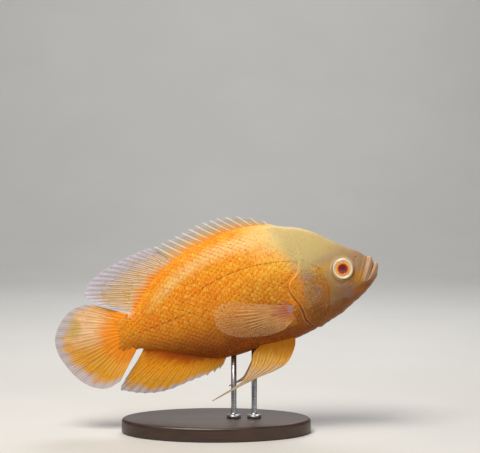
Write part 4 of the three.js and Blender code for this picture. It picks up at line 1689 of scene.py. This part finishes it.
@dataclass
class Eye:
    """One eye: a ball of pupil, iris and pale ring turned about the line from eye to eye, and its dome."""

    side: Side
    pupil: float = 3.8
    iris: float = 5.9
    dome: float = 7.0
    depth: float = 14.4
    sides: int = 96
    ball_out: tuple[float, ...] = (0.15, 1.2, 2.4, 3.4, 3.9, 4.1, 4.6, 5.3, 6.0, 6.4, 6.7, 7.0, 7.4,
                                   7.9, 8.4, 8.8, 9.1, 9.2, 8.4, 6.0)
    ball_rise: tuple[float, ...] = (2.0, 2.0, 1.95, 1.85, 1.75, 1.95, 2.0, 1.9, 1.7, 1.45, 1.55, 1.9, 2.25,
                                    2.2, 1.75, 1.1, 0.2, -1.2, -4.0, -6.5)

    def turned(self, name: str, out: Array, rise: Array, material: Any, nodes: Sequence[str]) -> Any:
        """Turn a profile about the eye's axis, with a point in the middle and a closed back.

        Args:
            name: the piece's name.
            out: the profile's distances from the axis.
            rise: the profile's distances out from the eye's depth.
            material: the piece's material.
            nodes: the frame's nodes that the piece stands for.

        Returns:
            The object.
        """
        turns = np.arange(self.sides) * (TURN / self.sides)
        reach = EYE_REACH + out[:, None] * np.cos(turns)
        height = EYE_HEIGHT + out[:, None] * np.sin(turns)
        away = self.side.value * (self.depth + rise)
        rings = to_world(reach, height, np.broadcast_to(away[:, None], reach.shape))
        ends = to_world(np.full(2, EYE_REACH), np.full(2, EYE_HEIGHT), away[[0, -1]])
        points, faces = closed_rings(rings, ends, self.side is Side.LEFT)
        uv = np.stack(np.broadcast_arrays(out[:, None], turns / TURN), -1).reshape(-1, 2)
        uv = np.concatenate([uv, [[out[0], 0.0], [out[-1], 0.0]]])
        return make_piece(name, points, faces, {"eye": uv}, material, nodes)

    def ball(self) -> Any:
        """The ball, with a step at the pupil, a dished iris and a rolled ring.

        Returns:
            The ball's object.
        """
        knots = np.arange(len(self.ball_out))
        fine = np.linspace(0, len(knots) - 1, 90)
        out, rise = (smooth_through(knots, line, fine) for line in (self.ball_out, self.ball_rise))
        finish = EyeFinish("eye_ball_" + self.side.word, self.pupil, self.iris).build()
        return self.turned("eyeball_" + self.side.word, out, rise, finish, ("eye_" + self.side.word,))

    def clear_dome(self) -> Any:
        """The clear dome over pupil and iris, with a flat back.

        Returns:
            The dome's object.
        """
        share = np.linspace(0.02, 1.0, 24) * math.pi / 2
        out = np.append(self.dome * np.sin(share), [self.dome - 0.1, 3.0])
        rise = np.append(1.75 + 1.7 * np.cos(share), [1.5, 1.45])
        finish = PlainFinish("eye_dome_" + self.side.word, "FFFFFF", "F4F8FF", (400, 400, 400),
                             (("Metallic", 1.0),), 0.00001, (0.03, 0.03), 0.03).build()
        return self.turned("eye_dome_" + self.side.word, out, rise, finish, ())

    def build(self) -> None:
        """Make the ball and its dome."""
        self.ball()
        self.clear_dome()


@dataclass
class Stand:
    """The flat oval base and the two rods with their collars."""

    half_length: float = 80.0
    half_width: float = 46.0
    height: float = 12.0
    foot_round: float = 1.2
    shoulder: float = 2.4
    shoulder_rise: float = 2.6
    base_sides: int = 160
    rod_radius: float = 2.3
    rod_into_belly: float = 1.2
    collar: float = 6.0
    rod_sides: int = 48

    @staticmethod
    def turned(centre: float, out: tuple[Array, Array], rise: Array,
               sides: int) -> tuple[Array, list[list[int]]]:
        """Carry a profile round an upright line and close both ends.

        Args:
            centre: the line's x.
            out: the profile's distances from the line, along x and along y.
            rise: the profile's heights.
            sides: how many steps the round has.

        Returns:
            Points in metres, and the corners of the faces.
        """
        around = np.arange(sides) * (TURN / sides)
        x = centre + out[0][:, None] * np.cos(around)
        y = out[1][:, None] * np.sin(around)
        rings = np.stack([x, y, np.broadcast_to(rise[:, None], x.shape)], -1)
        ends = np.array([[centre, 0.0, rise[0]], [centre, 0.0, rise[-1]]])
        points, faces = closed_rings(rings, ends)
        return points * MM, faces

    def base(self) -> Any:
        """The base: an oval with a rounded foot and shoulder.

        Returns:
            The base's object.
        """
        turn = np.linspace(0, math.pi / 2, 8)
        foot, top = self.foot_round, self.height
        inset = np.concatenate([[foot], foot - foot * np.sin(turn), [0.0],
                                self.shoulder * (1 - np.cos(turn)), [3.2, 3.6, 40.0]])
        rise = np.concatenate([[0.0], foot - foot * np.cos(turn), [top - 3.0],
                               top - self.shoulder_rise * (1 - np.sin(turn)), [top] * 3])
        out = (self.half_length - inset, self.half_width - inset)
        points, faces = self.turned(0.0, out, rise, self.base_sides)
        wood = PlainFinish("base_wood", "4A2E1E", "24140C", (14.0, 210.0, 260.0),
                           (("Coat Weight", 0.3), ("Coat Roughness", 0.25)), 0.00012, (0.34, 0.22)).build()
        return make_piece("display_base", points, faces, {}, wood, ("stand_base",))

    def rod(self, number: int) -> Any:
        """One rod: a turned profile of collar, neck and shaft, up into the belly it carries.

        Args:
            number: the rod's number in the frame.

        Returns:
            The rod's object.
        """
        node = f"stand_rod_{number}"
        low, high = (np.array(corner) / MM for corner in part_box(node))
        length = high[2] + self.rod_into_belly - self.height
        r, k = self.rod_radius, self.collar
        out = np.array([0.1, k - 0.3, k, k, k - 0.25, k - 0.9, r + 1.4, r + 0.5, r + 0.1, r, r, 0.1])
        rise = self.height + np.array([0, 0, 0.3, 1.9, 2.4, 2.8, 3.2, 3.9, 5.0, 6.5, length, length])
        points, faces = self.turned((low[0] + high[0]) / 2, (out, out), rise, self.rod_sides)
        steel = PlainFinish(f"rod_steel_{number}", "D2D2D4", "8E8E92", (60.0, 60.0, 5200.0),
                            (("Metallic", 1.0),), 0.00002, (0.24, 0.14)).build()
        return make_piece(f"display_rod_{number}", points, faces, {}, steel, (node,))

    def build(self) -> None:
        """Make the base and both rods."""
        self.base()
        for number in (1, 2):
            self.rod(number)


@dataclass
class Studio:
    """The pale floor, the soft lights and the camera at the photo's angle."""

    distance: float = 1.15
    rise: float = math.radians(3.0)

    def floor(self) -> None:
        """A pale floor that curves up into a wall far behind, as one swept sheet."""
        turn = np.linspace(0, math.pi / 2, 24)
        y = np.concatenate([[-4.0, 0.0], 1.4 + 0.9 * np.sin(turn), [2.3]])
        z = np.concatenate([[0.0, 0.0], 0.9 - 0.9 * np.cos(turn), [4.0]])
        x = np.linspace(-5.0, 5.0, 3)
        points = np.stack(np.broadcast_arrays(x[None, :], y[:, None], z[:, None]), -1)
        paper = PlainFinish("floor_paper", "D9D8D6", "D3D2D0", (6, 6, 6), (), 0.00005, (0.7, 0.1)).build()
        faces = grid_faces(len(y), len(x), False).tolist()
        put_in_scene(smooth_mesh("studio_floor", points, faces, paper))

    @staticmethod
    def lamp(name: str, place: tuple[float, float, float], size: float, power: float, tint: str,
             aim: tuple[float, float, float] = (0.0, 0.0, 0.11)) -> None:
        """Add a soft square light that looks at the middle of the fish, or at another point.

        Args:
            name: the light's name.
            place: where it hangs, in metres.
            size: the length of its side.
            power: its strength in watts.
            tint: its colour.
            aim: the point it looks at.
        """
        light = bpy.data.lights.new(name, "AREA")
        light.size, light.energy, light.color = size, power, linear(tint)[:3]
        lamp = put_in_scene(light)
        lamp.location = place
        lamp.rotation_euler = look_at(np.array(aim) - np.array(place))

    def camera(self) -> None:
        """Look along +Y, a little down, at the point that lies at the middle of the photo."""
        across = PHOTO_SNOUT[0] - PHOTO_SIZE[0] / 2
        down = PHOTO_SNOUT[1] - PHOTO_SIZE[1] / 2
        target = np.array([SNOUT_X - across * MM_PER_PIXEL, 0.0, SNOUT_Z + down * MM_PER_PIXEL]) * MM
        data = bpy.data.cameras.new("camera")
        data.sensor_width = 36.0
        data.lens = data.sensor_width * self.distance / (PHOTO_SIZE[0] * MM_PER_PIXEL * MM)
        camera = put_in_scene(data)
        ahead = np.array([0.0, math.cos(self.rise), -math.sin(self.rise)])
        camera.location = target - ahead * self.distance
        camera.rotation_euler = look_at(ahead)
        bpy.context.scene.camera = camera

    def build(self) -> None:
        """Set up the floor, the lights, the pale surroundings and the camera."""
        self.floor()
        self.camera()
        self.lamp("key", (-0.3, -0.52, 1.2), 0.6, 17.0, "FFF8EC")
        self.lamp("fill", (0.9, -1.0, 0.45), 1.0, 2.0, "F4F7FF")
        self.lamp("rim", (0.1, 0.7, 0.9), 0.6, 4.0, "FFFFFF")
        self.lamp("wall", (0.0, 1.1, 1.5), 1.0, 9.0, "FFFFFF", (0.0, 2.3, 0.5))
        world = bpy.data.worlds.new("studio_air")
        world.use_nodes = True
        air = world.node_tree.nodes["Background"].inputs
        air["Color"].default_value = linear("E9ECF2")
        air["Strength"].default_value = 0.2
        bpy.context.scene.world = world
        bpy.context.scene.view_settings.view_transform = "Standard"


def look_at(direction: Array) -> tuple[float, float, float]:
    """The turn that points a camera or light along a direction, with its top up."""
    x, y, z = (float(v) for v in direction)
    return math.atan2(math.hypot(x, y), -z), 0.0, math.atan2(y, x) - math.pi / 2


def main() -> None:
    """Build the fish and its stand."""
    logging.basicConfig(level=logging.INFO, format="%(name)s %(message)s")
    form = BodyForm()
    Skin(form).build()
    for side in Side:
        ScaleCoat(form, side).build()
        Eye(side).build()
    FinSet(form).build()
    Stand().build()
    Studio().build()


if __name__ == "__main__":
    main()
